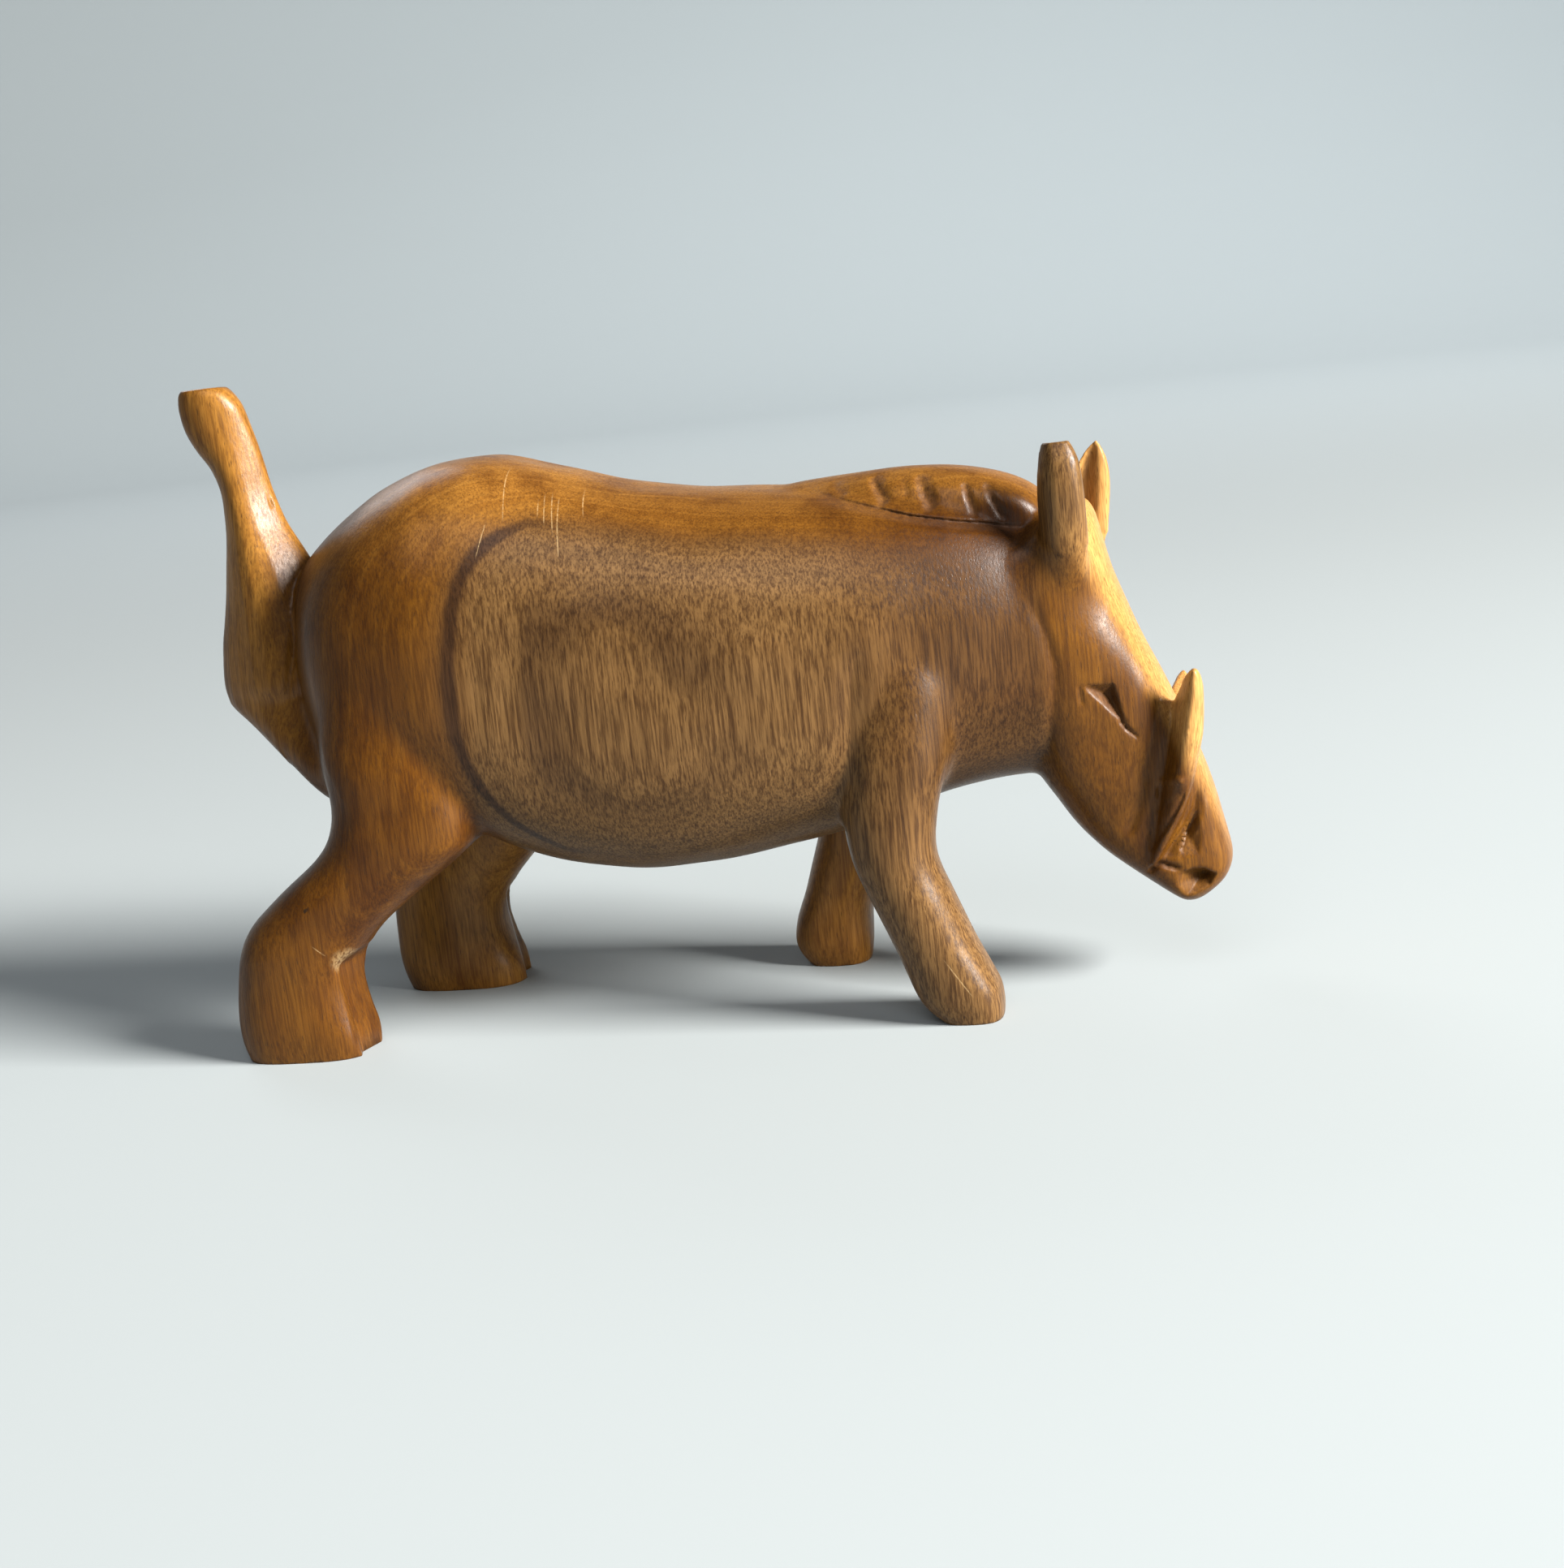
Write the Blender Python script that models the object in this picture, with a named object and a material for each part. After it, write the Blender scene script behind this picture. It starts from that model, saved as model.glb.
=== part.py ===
"""Carved wooden warthog figurine: one solid that stands on its four feet.

Metres, +Z up. The snout points towards +X and the right side faces -Y. The origin is on the ground
under the middle of the figure.
"""

import math

import bmesh
import bpy
from mathutils import Vector
from mathutils.bvhtree import BVHTree

# Driving sizes, in metres
LENGTH = 0.140  # tail to snout
BODY_WIDTH = 0.043  # across the belly
HEAD_WIDTH = 0.026  # across the cheeks
LEG_INSET = 0.006  # from the flank to the centre line of a leg
EAR_INSET = 0.0025  # from the cheek to the centre line of an ear
EAR_LENGTH = 0.019
MANE_WIDTH = 0.0165  # across the foot of the mane
EYE_DEPTH = 0.0018
NOSTRIL_DEPTH = 0.0018
MANE_CUT_DEPTH = 0.0009

# The tables below are in millimetres of a figure 140 mm long, and share its length
MM = LENGTH / 140
SOLES = 1.2  # level of the ground in the tables
RIGHT, LEFT = -1, 1

# Resolution
VOXEL = 0.75 * MM
SANDING_STEPS = 14
BODY_TRIANGLES = 6600
RING_POINTS = 40

# Torso: x, top z, bottom z, half width as a share of the belly's, power of the section, fuller below by
TORSO = (
    (-57.8, 59.0, 45.0, 0.18, 2.2, 0.0),
    (-57.0, 63.9, 41.0, 0.44, 2.3, 0.0),
    (-54.5, 67.9, 37.5, 0.7, 2.4, 0.0),
    (-48.0, 73.2, 34.5, 0.9, 2.6, 0.03),
    (-41.0, 77.4, 33.0, 0.98, 2.8, 0.05),
    (-34.0, 79.8, 30.0, 1.0, 2.8, 0.06),
    (-27.0, 80.2, 25.8, 0.995, 2.8, 0.05),
    (-18.0, 77.9, 22.9, 0.99, 2.75, 0.05),
    (-9.0, 75.2, 21.6, 1.0, 2.7, 0.05),
    (0.0, 73.4, 22.1, 1.0, 2.7, 0.05),
    (9.0, 72.5, 23.4, 0.99, 2.65, 0.05),
    (18.0, 71.7, 24.9, 0.96, 2.6, 0.04),
    (26.0, 71.1, 27.4, 0.92, 2.5, 0.02),
    (34.0, 70.4, 29.4, 0.84, 2.4, 0.0),
    (40.0, 69.4, 30.3, 0.75, 2.3, 0.0),
    (45.0, 67.4, 30.5, 0.67, 2.2, 0.0),
    (49.0, 64.3, 30.8, 0.58, 2.2, 0.0),
    (52.5, 60.0, 36.0, 0.45, 2.2, 0.0),
)
# Legs: z, back x, front x, inward shift of the centre line, half thickness, power
HIND_LEG = (
    (66.0, -48.0, -38.0, 5.4, 7.0, 2.0),
    (58.0, -52.0, -33.0, 4.0, 8.2, 2.0),
    (50.0, -53.8, -31.2, 3.4, 8.8, 2.1),
    (42.0, -52.8, -30.8, 2.6, 8.6, 2.3),
    (36.0, -50.8, -31.2, 1.9, 8.2, 2.6),
    (31.0, -52.0, -31.8, 1.3, 7.8, 2.7),
    (27.6, -55.2, -34.6, 0.9, 7.5, 2.6),
    (22.9, -61.2, -40.4, 0.4, 7.2, 2.4),
    (19.6, -64.8, -44.9, 0.2, 7.0, 2.5),
    (16.0, -66.7, -48.4, 0.0, 6.9, 2.5),
    (12.0, -67.5, -50.3, 0.0, 6.8, 2.5),
    (7.0, -68.0, -49.9, 0.0, 6.8, 2.7),
    (4.2, -67.9, -49.2, 0.0, 6.7, 2.9),
    (2.0, -67.4, -49.1, 0.0, 6.5, 3.0),
    (0.0, -66.8, -49.3, 0.0, 6.2, 3.0),
)
RIGHT_FRONT_LEG = (
    (60.0, 24.0, 35.0, 5.0, 7.6, 2.0),
    (52.0, 20.8, 36.9, 3.9, 8.0, 2.1),
    (46.0, 19.9, 36.7, 3.2, 7.9, 2.2),
    (38.0, 19.2, 34.8, 2.0, 7.4, 2.3),
    (30.0, 19.2, 32.2, 0.8, 6.7, 2.3),
    (24.0, 20.0, 31.4, 0.2, 6.3, 2.3),
    (18.0, 22.0, 33.4, 0.0, 6.1, 2.2),
    (12.0, 24.4, 35.5, 0.0, 6.0, 2.2),
    (8.0, 26.0, 37.3, 0.0, 5.9, 2.4),
    (5.0, 27.2, 38.5, 0.0, 5.8, 2.8),
    (3.0, 28.4, 38.7, 0.0, 5.6, 3.0),
    (1.4, 30.0, 38.6, 0.0, 5.3, 3.0),
    (0.0, 31.4, 38.4, 0.0, 4.9, 3.0),
)
LEFT_FRONT_LEG = (
    (60.0, 21.5, 34.0, 5.0, 7.6, 2.0),
    (52.0, 18.6, 34.8, 3.9, 8.0, 2.1),
    (46.0, 17.4, 33.6, 3.2, 7.9, 2.2),
    (38.0, 15.6, 30.4, 2.0, 7.4, 2.3),
    (30.0, 13.4, 26.0, 0.8, 6.7, 2.3),
    (24.0, 12.0, 23.2, 0.2, 6.3, 2.3),
    (18.0, 10.3, 20.8, 0.0, 6.1, 2.2),
    (12.0, 8.2, 18.8, 0.0, 6.0, 2.2),
    (8.0, 6.6, 17.8, 0.0, 5.9, 2.4),
    (5.0, 6.0, 17.5, 0.0, 5.8, 2.8),
    (3.0, 6.5, 17.3, 0.0, 5.6, 3.0),
    (1.4, 7.6, 17.0, 0.0, 5.3, 3.0),
    (0.0, 8.8, 16.8, 0.0, 4.9, 3.0),
)
# The left hind leg steps forward: height, and how far forward of the right one
LEFT_HIND_STEP = ((50.0, 0.0), (38.0, 4.0), (30.0, 8.0), (20.0, 12.0), (0.0, 14.0))
# Tail: z, x of its back, of its side ridge and of its front, half thickness of the three
TAIL = (
    (92.9, -69.3, -66.5, -63.9, 2.0, 2.9, 2.2),
    (92.2, -69.9, -66.5, -62.6, 2.4, 3.3, 2.6),
    (90.4, -70.1, -66.0, -61.2, 2.6, 3.7, 2.9),
    (87.5, -69.7, -64.6, -60.4, 2.7, 3.8, 3.0),
    (84.6, -68.5, -63.2, -59.8, 2.6, 3.9, 3.0),
    (81.8, -66.8, -62.2, -59.2, 2.5, 4.0, 3.0),
    (78.3, -65.8, -61.6, -58.5, 2.4, 4.2, 3.0),
    (73.7, -66.1, -61.2, -57.2, 2.4, 4.7, 3.2),
    (68.0, -67.0, -60.8, -55.4, 2.5, 5.3, 3.5),
    (61.0, -68.2, -60.4, -53.0, 2.7, 6.0, 3.8),
    (56.5, -69.2, -60.0, -52.0, 2.9, 6.4, 4.0),
    (51.9, -69.7, -59.8, -52.0, 3.2, 6.9, 4.4),
    (49.0, -69.2, -59.4, -52.0, 3.6, 7.4, 5.0),
    (46.0, -66.2, -58.4, -52.0, 4.6, 8.0, 6.0),
    (42.1, -61.8, -56.0, -50.0, 6.4, 8.8, 7.0),
    (38.3, -57.8, -53.4, -49.0, 7.6, 9.4, 7.6),
    (35.0, -54.2, -51.0, -48.0, 6.0, 8.0, 6.0),
)
# Head: z, x of its back, of the edge of its face and of its front, half width of the back and of the
# edge, both as shares of the cheeks'
HEAD = (
    (67.0, 49.5, 52.8, 53.8, 0.46, 0.38),
    (65.0, 46.0, 53.6, 55.0, 0.74, 0.56),
    (61.0, 42.0, 54.3, 55.9, 0.93, 0.67),
    (56.7, 40.0, 54.9, 56.9, 1.0, 0.7),
    (51.6, 40.0, 56.6, 58.6, 1.03, 0.69),
    (47.0, 40.0, 58.2, 60.4, 1.03, 0.67),
    (41.3, 40.5, 60.6, 62.9, 1.01, 0.64),
    (36.0, 42.0, 62.8, 65.0, 0.96, 0.6),
    (31.0, 44.6, 64.6, 66.9, 0.88, 0.56),
    (27.4, 46.6, 65.6, 67.9, 0.81, 0.54),
    (23.4, 49.0, 66.6, 68.8, 0.74, 0.54),
    (20.0, 52.2, 67.2, 69.6, 0.7, 0.54),
    (17.0, 55.8, 67.6, 70.0, 0.66, 0.53),
    (14.5, 59.2, 66.8, 69.0, 0.6, 0.5),
    (12.6, 61.9, 65.2, 66.8, 0.5, 0.44),
    (11.5, 63.4, 64.4, 65.2, 0.26, 0.24),
)
# Mane: x, top z, foot z, half width as a share of the mane's
MANE = (
    (10.0, 71.6, 66.0, 0.20),
    (16.0, 72.6, 66.0, 0.52),
    (23.0, 73.0, 65.5, 0.8),
    (30.0, 73.3, 65.0, 0.94),
    (36.0, 72.9, 64.5, 1.0),
    (42.0, 71.7, 63.0, 0.98),
    (46.5, 69.6, 62.0, 0.86),
    (50.0, 66.6, 60.0, 0.62),
)
# Lower edge of the mane, and the cuts in its side: x, distance from the middle as a share of the mane's
# half width, z. Each cut has its width too
MANE_EDGE = (
    (14.5, 0.60, 72.0),
    (19.0, 0.80, 70.8),
    (24.5, 0.97, 69.2),
    (30.0, 1.07, 67.8),
    (36.0, 1.10, 66.4),
    (42.0, 1.07, 65.2),
    (46.5, 1.00, 64.4),
)
MANE_EDGE_WIDTH = 1.4
MANE_CUTS = (
    ((20.0, 0.44, 72.4), (21.4, 0.75, 70.8), 1.6),
    ((24.2, 0.44, 72.6), (26.2, 0.90, 69.6), 2.0),
    ((28.8, 0.44, 72.8), (31.6, 0.97, 68.4), 2.4),
    ((34.2, 0.44, 72.4), (37.2, 1.00, 67.0), 2.4),
    ((38.8, 0.42, 71.8), (41.6, 1.00, 66.2), 2.4),
    ((42.6, 0.40, 70.8), (45.4, 0.95, 65.6), 2.2),
)
# Ear: share of its length, forward and outward of its foot, share of its full width
RIGHT_EAR = (
    (-0.25, -1.0, -4.0, 0.9),
    (-0.08, -0.6, -2.2, 1.0),
    (0.08, -0.2, -0.8, 1.05),
    (0.26, 0.0, 0.0, 1.04),
    (0.48, 0.1, 0.3, 1.0),
    (0.68, 0.1, 0.4, 0.96),
    (0.84, 0.2, 0.3, 0.84),
    (0.94, 0.3, 0.1, 0.62),
    (1.0, 0.3, 0.0, 0.36),
)
LEFT_EAR = (
    (-0.25, 0.4, -4.0, 0.9),
    (-0.08, 1.0, -2.2, 1.0),
    (0.08, 1.6, -0.8, 1.04),
    (0.26, 2.2, 0.0, 1.03),
    (0.44, 2.7, 0.3, 0.99),
    (0.6, 3.2, 0.4, 0.88),
    (0.74, 3.8, 0.3, 0.64),
    (0.84, 4.2, 0.1, 0.36),
    (0.9, 4.5, 0.0, 0.08),
)
EAR_FOOT_X, EAR_FOOT_Z = 51.0, 56.6
# Section of an ear at its full width: forward, outward. The last points are its hollow
EAR_SECTION = (
    (3.0, 1.4),
    (1.2, 2.3),
    (-1.0, 2.4),
    (-2.6, 1.0),
    (-3.2, -1.0),
    (-2.2, -1.0),
    (-0.9, 0.3),
    (0.9, 0.3),
    (2.1, -1.2),
    (3.1, -0.9),
)
# Tusk: z, x of its back, of its outer ridge and of its front, and how far each is inside the cheeks' width
TUSK = (
    (44.2, 65.8, 66.3, 66.7, 3.0, 2.3, 2.8),
    (42.6, 64.9, 66.3, 67.1, 4.4, 1.8, 3.8),
    (40.0, 63.9, 65.6, 67.4, 6.4, 1.4, 4.6),
    (37.0, 62.9, 64.6, 67.4, 8.5, 1.2, 5.0),
    (34.0, 61.8, 63.7, 66.9, 10.0, 1.3, 5.2),
    (30.0, 60.6, 62.8, 65.8, 10.0, 1.7, 5.4),
    (26.0, 59.4, 62.0, 64.4, 10.0, 2.3, 5.6),
    (22.0, 58.6, 60.4, 61.9, 10.0, 3.3, 5.8),
    (18.4, 58.4, 58.9, 59.3, 10.0, 4.4, 6.4),
)
LEFT_TUSK_SHIFT = (-1.4, -3.6)  # the left tusk is carved lower: forward, up
# Corners of the carved hollows on the side of the head: x, z
EYE = ((52.2, 43.6), (55.9, 43.5), (57.4, 37.0))
NOSTRIL = ((64.3, 17.3), (67.9, 15.7), (65.6, 13.9))
LIP_HOLLOW = ((65.4, 27.5), (65.0, 18.6), (60.6, 17.6))


def interpolated(rows, steps):
    """The rows with more between them, on a smooth curve through each column."""
    dense = []
    for i in range(len(rows) - 1):
        before, start = rows[max(i - 1, 0)], rows[i]
        end, after = rows[i + 1], rows[min(i + 2, len(rows) - 1)]
        for step in range(steps):
            t = step / steps
            dense.append(tuple(curved(*column, t) for column in zip(before, start, end, after)))
    dense.append(tuple(rows[-1]))
    return dense


def curved(before, start, end, after, t):
    """A cubic from start to end, with slopes taken from the neighbours and kept gentle."""
    limit = 1.5 * abs(end - start)
    leaving = max(-limit, min(limit, 0.5 * (end - before)))
    arriving = max(-limit, min(limit, 0.5 * (after - start)))
    t2, t3 = t * t, t * t * t
    ease = 3 * t2 - 2 * t3
    return start + ease * (end - start) + (t3 - 2 * t2 + t) * leaving + (t3 - t2) * arriving


def rounded(angle, power):
    """A point of the unit superellipse: power 2 gives a circle, more gives a squarer shape."""
    c, s = math.cos(angle), math.sin(angle)
    return (
        math.copysign(abs(c) ** (2 / power), c),
        math.copysign(abs(s) ** (2 / power), s),
    )


def ring_angles():
    return [2 * math.pi * i / RING_POINTS for i in range(RING_POINTS)]


def placed(name, bm):
    """A new object in the scene from a bmesh."""
    bmesh.ops.recalc_face_normals(bm, faces=bm.faces)
    mesh = bpy.data.meshes.new(name)
    bm.to_mesh(mesh)
    bm.free()
    piece = bpy.data.objects.new(name, mesh)
    bpy.context.scene.collection.objects.link(piece)
    return piece


def lofted(name, rings):
    """A closed object through rings of points, in millimetres of the figure."""
    bm = bmesh.new()
    layers = [[bm.verts.new(Vector(p) * MM) for p in ring] for ring in rings]
    count = len(layers[0])
    for lower, upper in zip(layers, layers[1:]):
        for i in range(count):
            j = (i + 1) % count
            bm.faces.new((lower[i], lower[j], upper[j], upper[i]))
    bm.faces.new(layers[0])
    bm.faces.new(layers[-1])
    bmesh.ops.triangulate(bm, faces=bm.faces)
    return placed(name, bm)


def level_rings(rows, steps=3):
    """Rings at levels of z from rows of z, back x, front x, centre y, half width, power, front narrowing."""
    rings = []
    for z, back, front, mid_y, half, power, narrowing in interpolated(rows, steps):
        mid_x, reach = (front + back) / 2, (front - back) / 2
        ring = []
        for angle in ring_angles():
            c, s = rounded(angle, power)
            ring.append((mid_x + reach * c, mid_y + half * s * (1 - narrowing * c), z))
        rings.append(ring)
    return rings


def upright_rings(rows, steps=3):
    """Rings across the figure from rows of x, top z, bottom z, half width, power, lower fullness."""
    rings = []
    for x, top, bottom, half, power, fullness in interpolated(rows, steps):
        mid, reach = (top + bottom) / 2, (top - bottom) / 2
        ring = []
        for angle in ring_angles():
            c, s = rounded(angle, power)
            ring.append((x, half * s * (1 - fullness * c), mid + reach * c))
        rings.append(ring)
    return rings


def torso():
    half_width = BODY_WIDTH / 2 / MM
    rows = [(x, top, bottom, half_width * share, power, full) for x, top, bottom, share, power, full in TORSO]
    return lofted("torso", upright_rings(rows))


def leg(name, rows, side):
    centre = (BODY_WIDTH / 2 - LEG_INSET) / MM
    levels = [
        (z, back, front, side * (centre - inward), half, power, 0.0)
        for z, back, front, inward, half, power in rows
    ]
    return lofted(name, level_rings(levels))


def stepped(rows, step):
    """A leg's rows moved forward by a distance that changes with height."""
    moved = []
    for z, back, front, *rest in rows:
        shift = step[0][1]
        for (high, at_high), (low, at_low) in zip(step, step[1:]):
            if z <= high:
                shift = at_high + (at_low - at_high) * min(1.0, (high - z) / (high - low))
        moved.append((z, back + shift, front + shift, *rest))
    return tuple(moved)


def cornered_rings(rows, rounds=2, steps=3):
    """Rings at levels of z from rows of z, then x of back, edge and front, then their half widths.

    Each ring is a six-cornered outline, whose corners are cut off twice over to round them.
    """
    rings = []
    for z, back, edge, front, back_half, edge_half, front_half in interpolated(rows, steps):
        side = [(front, front_half), (edge, edge_half), (back, back_half)]
        outline = side + [(x, -y) for x, y in reversed(side)]
        for _ in range(rounds):
            cut = []
            for (x, y), (next_x, next_y) in zip(outline, outline[1:] + outline[:1]):
                cut.append((0.75 * x + 0.25 * next_x, 0.75 * y + 0.25 * next_y))
                cut.append((0.25 * x + 0.75 * next_x, 0.25 * y + 0.75 * next_y))
            outline = cut
        rings.append([(x, y, z) for x, y in outline])
    return rings


def tail():
    return lofted("tail", cornered_rings(TAIL))


def head():
    cheek = HEAD_WIDTH / 2 / MM
    rows = []
    for z, back, edge, front, back_share, edge_share in HEAD:
        rows.append((z, back, edge, front, cheek * back_share, cheek * edge_share, cheek * edge_share * 0.55))
    return lofted("head", cornered_rings(rows))


def mane():
    half_width = MANE_WIDTH / 2 / MM
    rows = [(x, top, foot, half_width * share, 2.6, 0.0) for x, top, foot, share in MANE]
    return lofted("mane", upright_rings(rows))


def ear(name, rows, side):
    """A thick leaf, hollowed on the side that faces the other ear."""
    length, foot_y = EAR_LENGTH / MM, (HEAD_WIDTH / 2 - EAR_INSET) / MM
    rings = []
    for share, forward, outward, width in interpolated(rows, 2):
        x, y, z = EAR_FOOT_X + forward, foot_y + outward, EAR_FOOT_Z + share * length
        rings.append([(x + u * width, side * (y + v * width), z) for u, v in EAR_SECTION])
    return lofted(name, rings)


def tusk(name, side, shift):
    """A three-sided horn along the muzzle, with its ridge outward and its tip free."""
    forward, up = shift
    cheek = HEAD_WIDTH / 2 / MM
    rings = []
    for z, back, ridge, front, back_in, ridge_in, front_in in interpolated(TUSK, 2):
        level = z + up * (z - TUSK[-1][0]) / (TUSK[0][0] - TUSK[-1][0])
        corners = ((back, back_in), (ridge, ridge_in), (front, front_in), ((back + front) / 2, back_in))
        rings.append([(x + forward, side * (cheek - inside), level) for x, inside in corners])
    return lofted(name, rings)


def skin_of(piece):
    """What finds points on the surface of an object."""
    return BVHTree.FromObject(piece, bpy.context.evaluated_depsgraph_get())


def beside(skin, x, z, side):
    """The point of the surface that is seen from the side at x and z, in millimetres."""
    start = Vector((x * MM, side * BODY_WIDTH, z * MM))
    hit = skin.ray_cast(start, Vector((0, -side, 0)))[0]
    return hit / MM


def pit(name, skin, corners, side, depth):
    """A cutter with a three-cornered mouth at the surface that narrows to a point inside the wood."""
    out = Vector((0, side, 0))
    mouth = [beside(skin, x, z, side) + 0.2 * out for x, z in corners]
    tip = sum(mouth, Vector()) / len(mouth) - (depth / MM) * out
    return lofted(name, [[p + 6 * out for p in mouth], mouth, [tip + (p - tip) * 0.02 for p in mouth]])


def groove(name, skin, points, side, width, depth):
    """A cutter along points near the surface of the mane, with a sharp bottom at depth."""
    outside = 3.0
    deep = depth / MM
    half_mane = MANE_WIDTH / 2 / MM
    spots = []
    for x, share, z in points:
        spot, normal = skin.find_nearest(Vector((x, side * half_mane * share, z)) * MM)[:2]
        spots.append((spot / MM, normal))
    rings = []
    for i, (spot, normal) in enumerate(spots):
        before, after = spots[max(i - 1, 0)][0], spots[min(i + 1, len(spots) - 1)][0]
        across = (after - before).normalized().cross(normal).normalized()
        reach = width / 2 * (outside + deep) / deep
        centre = spot + normal * outside
        rings.append([spot - normal * deep, centre - across * reach, centre + across * reach])
    return lofted(name, rings)


def joined(name, pieces):
    """One object that holds the meshes of all the pieces."""
    bm = bmesh.new()
    for piece in pieces:
        bm.from_mesh(piece.data)
        bpy.data.objects.remove(piece)
    return placed(name, bm)


def settle(piece):
    """Makes what the modifiers give the object's own mesh."""
    bpy.context.view_layer.update()
    shaped = piece.evaluated_get(bpy.context.evaluated_depsgraph_get())
    mesh = bpy.data.meshes.new_from_object(shaped)
    piece.modifiers.clear()
    piece.data = mesh


def fuse(piece, voxel, steps):
    """Grows the overlapping masses into one skin and sands it smooth."""
    remesh = piece.modifiers.new("fuse", "REMESH")
    remesh.mode = "VOXEL"
    remesh.voxel_size = voxel
    sanding = piece.modifiers.new("sand", "SMOOTH")
    sanding.factor = 0.5
    sanding.iterations = steps
    settle(piece)


def thin_out(piece, triangles):
    """Leaves this many triangles, taking them first where the surface is flattest."""
    count = sum(len(face.vertices) - 2 for face in piece.data.polygons)
    decimate = piece.modifiers.new("thin", "DECIMATE")
    decimate.ratio = min(1.0, triangles / count)
    settle(piece)


def combine(piece, others, operation):
    """Adds the other objects to the piece, or cuts them from it. They may overlap each other."""
    other = joined("others", others)
    boolean = piece.modifiers.new("combine", "BOOLEAN")
    boolean.operation = operation
    boolean.solver = "EXACT"
    boolean.use_self = True
    boolean.object = other
    settle(piece)
    bpy.data.objects.remove(other)


def clean(piece):
    """Merges points that the cuts left closer together than any detail."""
    smallest = 0.02 * MM
    bm = bmesh.new()
    bm.from_mesh(piece.data)
    bmesh.ops.triangulate(bm, faces=bm.faces)
    bmesh.ops.remove_doubles(bm, verts=bm.verts, dist=smallest)
    bmesh.ops.dissolve_degenerate(bm, edges=bm.edges, dist=smallest)
    bm.to_mesh(piece.data)
    bm.free()


def stand(piece):
    """Cuts the feet flat on the ground and sets the origin under the middle of the figure."""
    bm = bmesh.new()
    bm.from_mesh(piece.data)
    bmesh.ops.translate(bm, verts=bm.verts, vec=(0, 0, -SOLES * MM))
    cut = bmesh.ops.bisect_plane(
        bm,
        geom=bm.verts[:] + bm.edges[:] + bm.faces[:],
        plane_co=(0, 0, 0),
        plane_no=(0, 0, -1),
        clear_outer=True,
    )
    rim = [e for e in cut["geom_cut"] if isinstance(e, bmesh.types.BMEdge)]
    bmesh.ops.holes_fill(bm, edges=rim)
    middle = []
    for axis in range(2):
        places = [vert.co[axis] for vert in bm.verts]
        middle.append((min(places) + max(places)) / 2)
    bmesh.ops.translate(bm, verts=bm.verts, vec=(-middle[0], -middle[1], 0))
    bm.to_mesh(piece.data)
    bm.free()


def finish(piece):
    """Smooth shading with crisp cuts, and the colour of the oiled wood."""
    piece.data.shade_smooth()
    piece.data.set_sharp_from_angle(angle=math.radians(32))
    wood = bpy.data.materials.new("carved_wood")
    wood.use_nodes = True
    shader = wood.node_tree.nodes["Principled BSDF"]
    shader.inputs["Base Color"].default_value = (0.30, 0.155, 0.062, 1.0)
    shader.inputs["Roughness"].default_value = 0.42
    shader.inputs["Metallic"].default_value = 0.0
    piece.data.materials.append(wood)


def main():
    for old in list(bpy.data.objects):
        bpy.data.objects.remove(old)
    masses = [
        torso(),
        leg("right_hind", HIND_LEG, RIGHT),
        leg("left_hind", stepped(HIND_LEG, LEFT_HIND_STEP), LEFT),
        leg("right_front", RIGHT_FRONT_LEG, RIGHT),
        leg("left_front", LEFT_FRONT_LEG, LEFT),
        tail(),
        head(),
        mane(),
    ]
    figure = joined("warthog", masses)
    fuse(figure, VOXEL, SANDING_STEPS)
    thin_out(figure, BODY_TRIANGLES)
    skin = skin_of(figure)
    tusks = [tusk("right_tusk", RIGHT, (0, 0)), tusk("left_tusk", LEFT, LEFT_TUSK_SHIFT)]
    ears = [ear("right_ear", RIGHT_EAR, RIGHT), ear("left_ear", LEFT_EAR, LEFT)]
    cutters = []
    for side in (RIGHT, LEFT):
        cutters.append(pit("eye", skin, EYE, side, EYE_DEPTH))
        cutters.append(pit("nostril", skin, NOSTRIL, side, NOSTRIL_DEPTH))
        cutters.append(pit("lip", skin, LIP_HOLLOW, side, NOSTRIL_DEPTH))
        cutters.append(groove("mane_edge", skin, MANE_EDGE, side, MANE_EDGE_WIDTH, MANE_CUT_DEPTH))
        for top, bottom, width in MANE_CUTS:
            cutters.append(groove("mane_cut", skin, (top, bottom), side, width, MANE_CUT_DEPTH))
    combine(figure, tusks, "UNION")
    combine(figure, cutters, "DIFFERENCE")
    combine(figure, ears, "UNION")
    clean(figure)
    stand(figure)
    finish(figure)


main()
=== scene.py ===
"""Looks of a carved wooden warthog figurine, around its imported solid.

The figure is modelled again at a fine scale: overlapping masses are grown into one skin and sanded,
then the tail, tusks and ears are added and the knife work is cut into the surface. The tables are in
millimetres of a figure 140 mm long, as in the part's source.
"""

import math

import bmesh
import bpy
import numpy as np
from mathutils import Matrix, Vector


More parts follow.
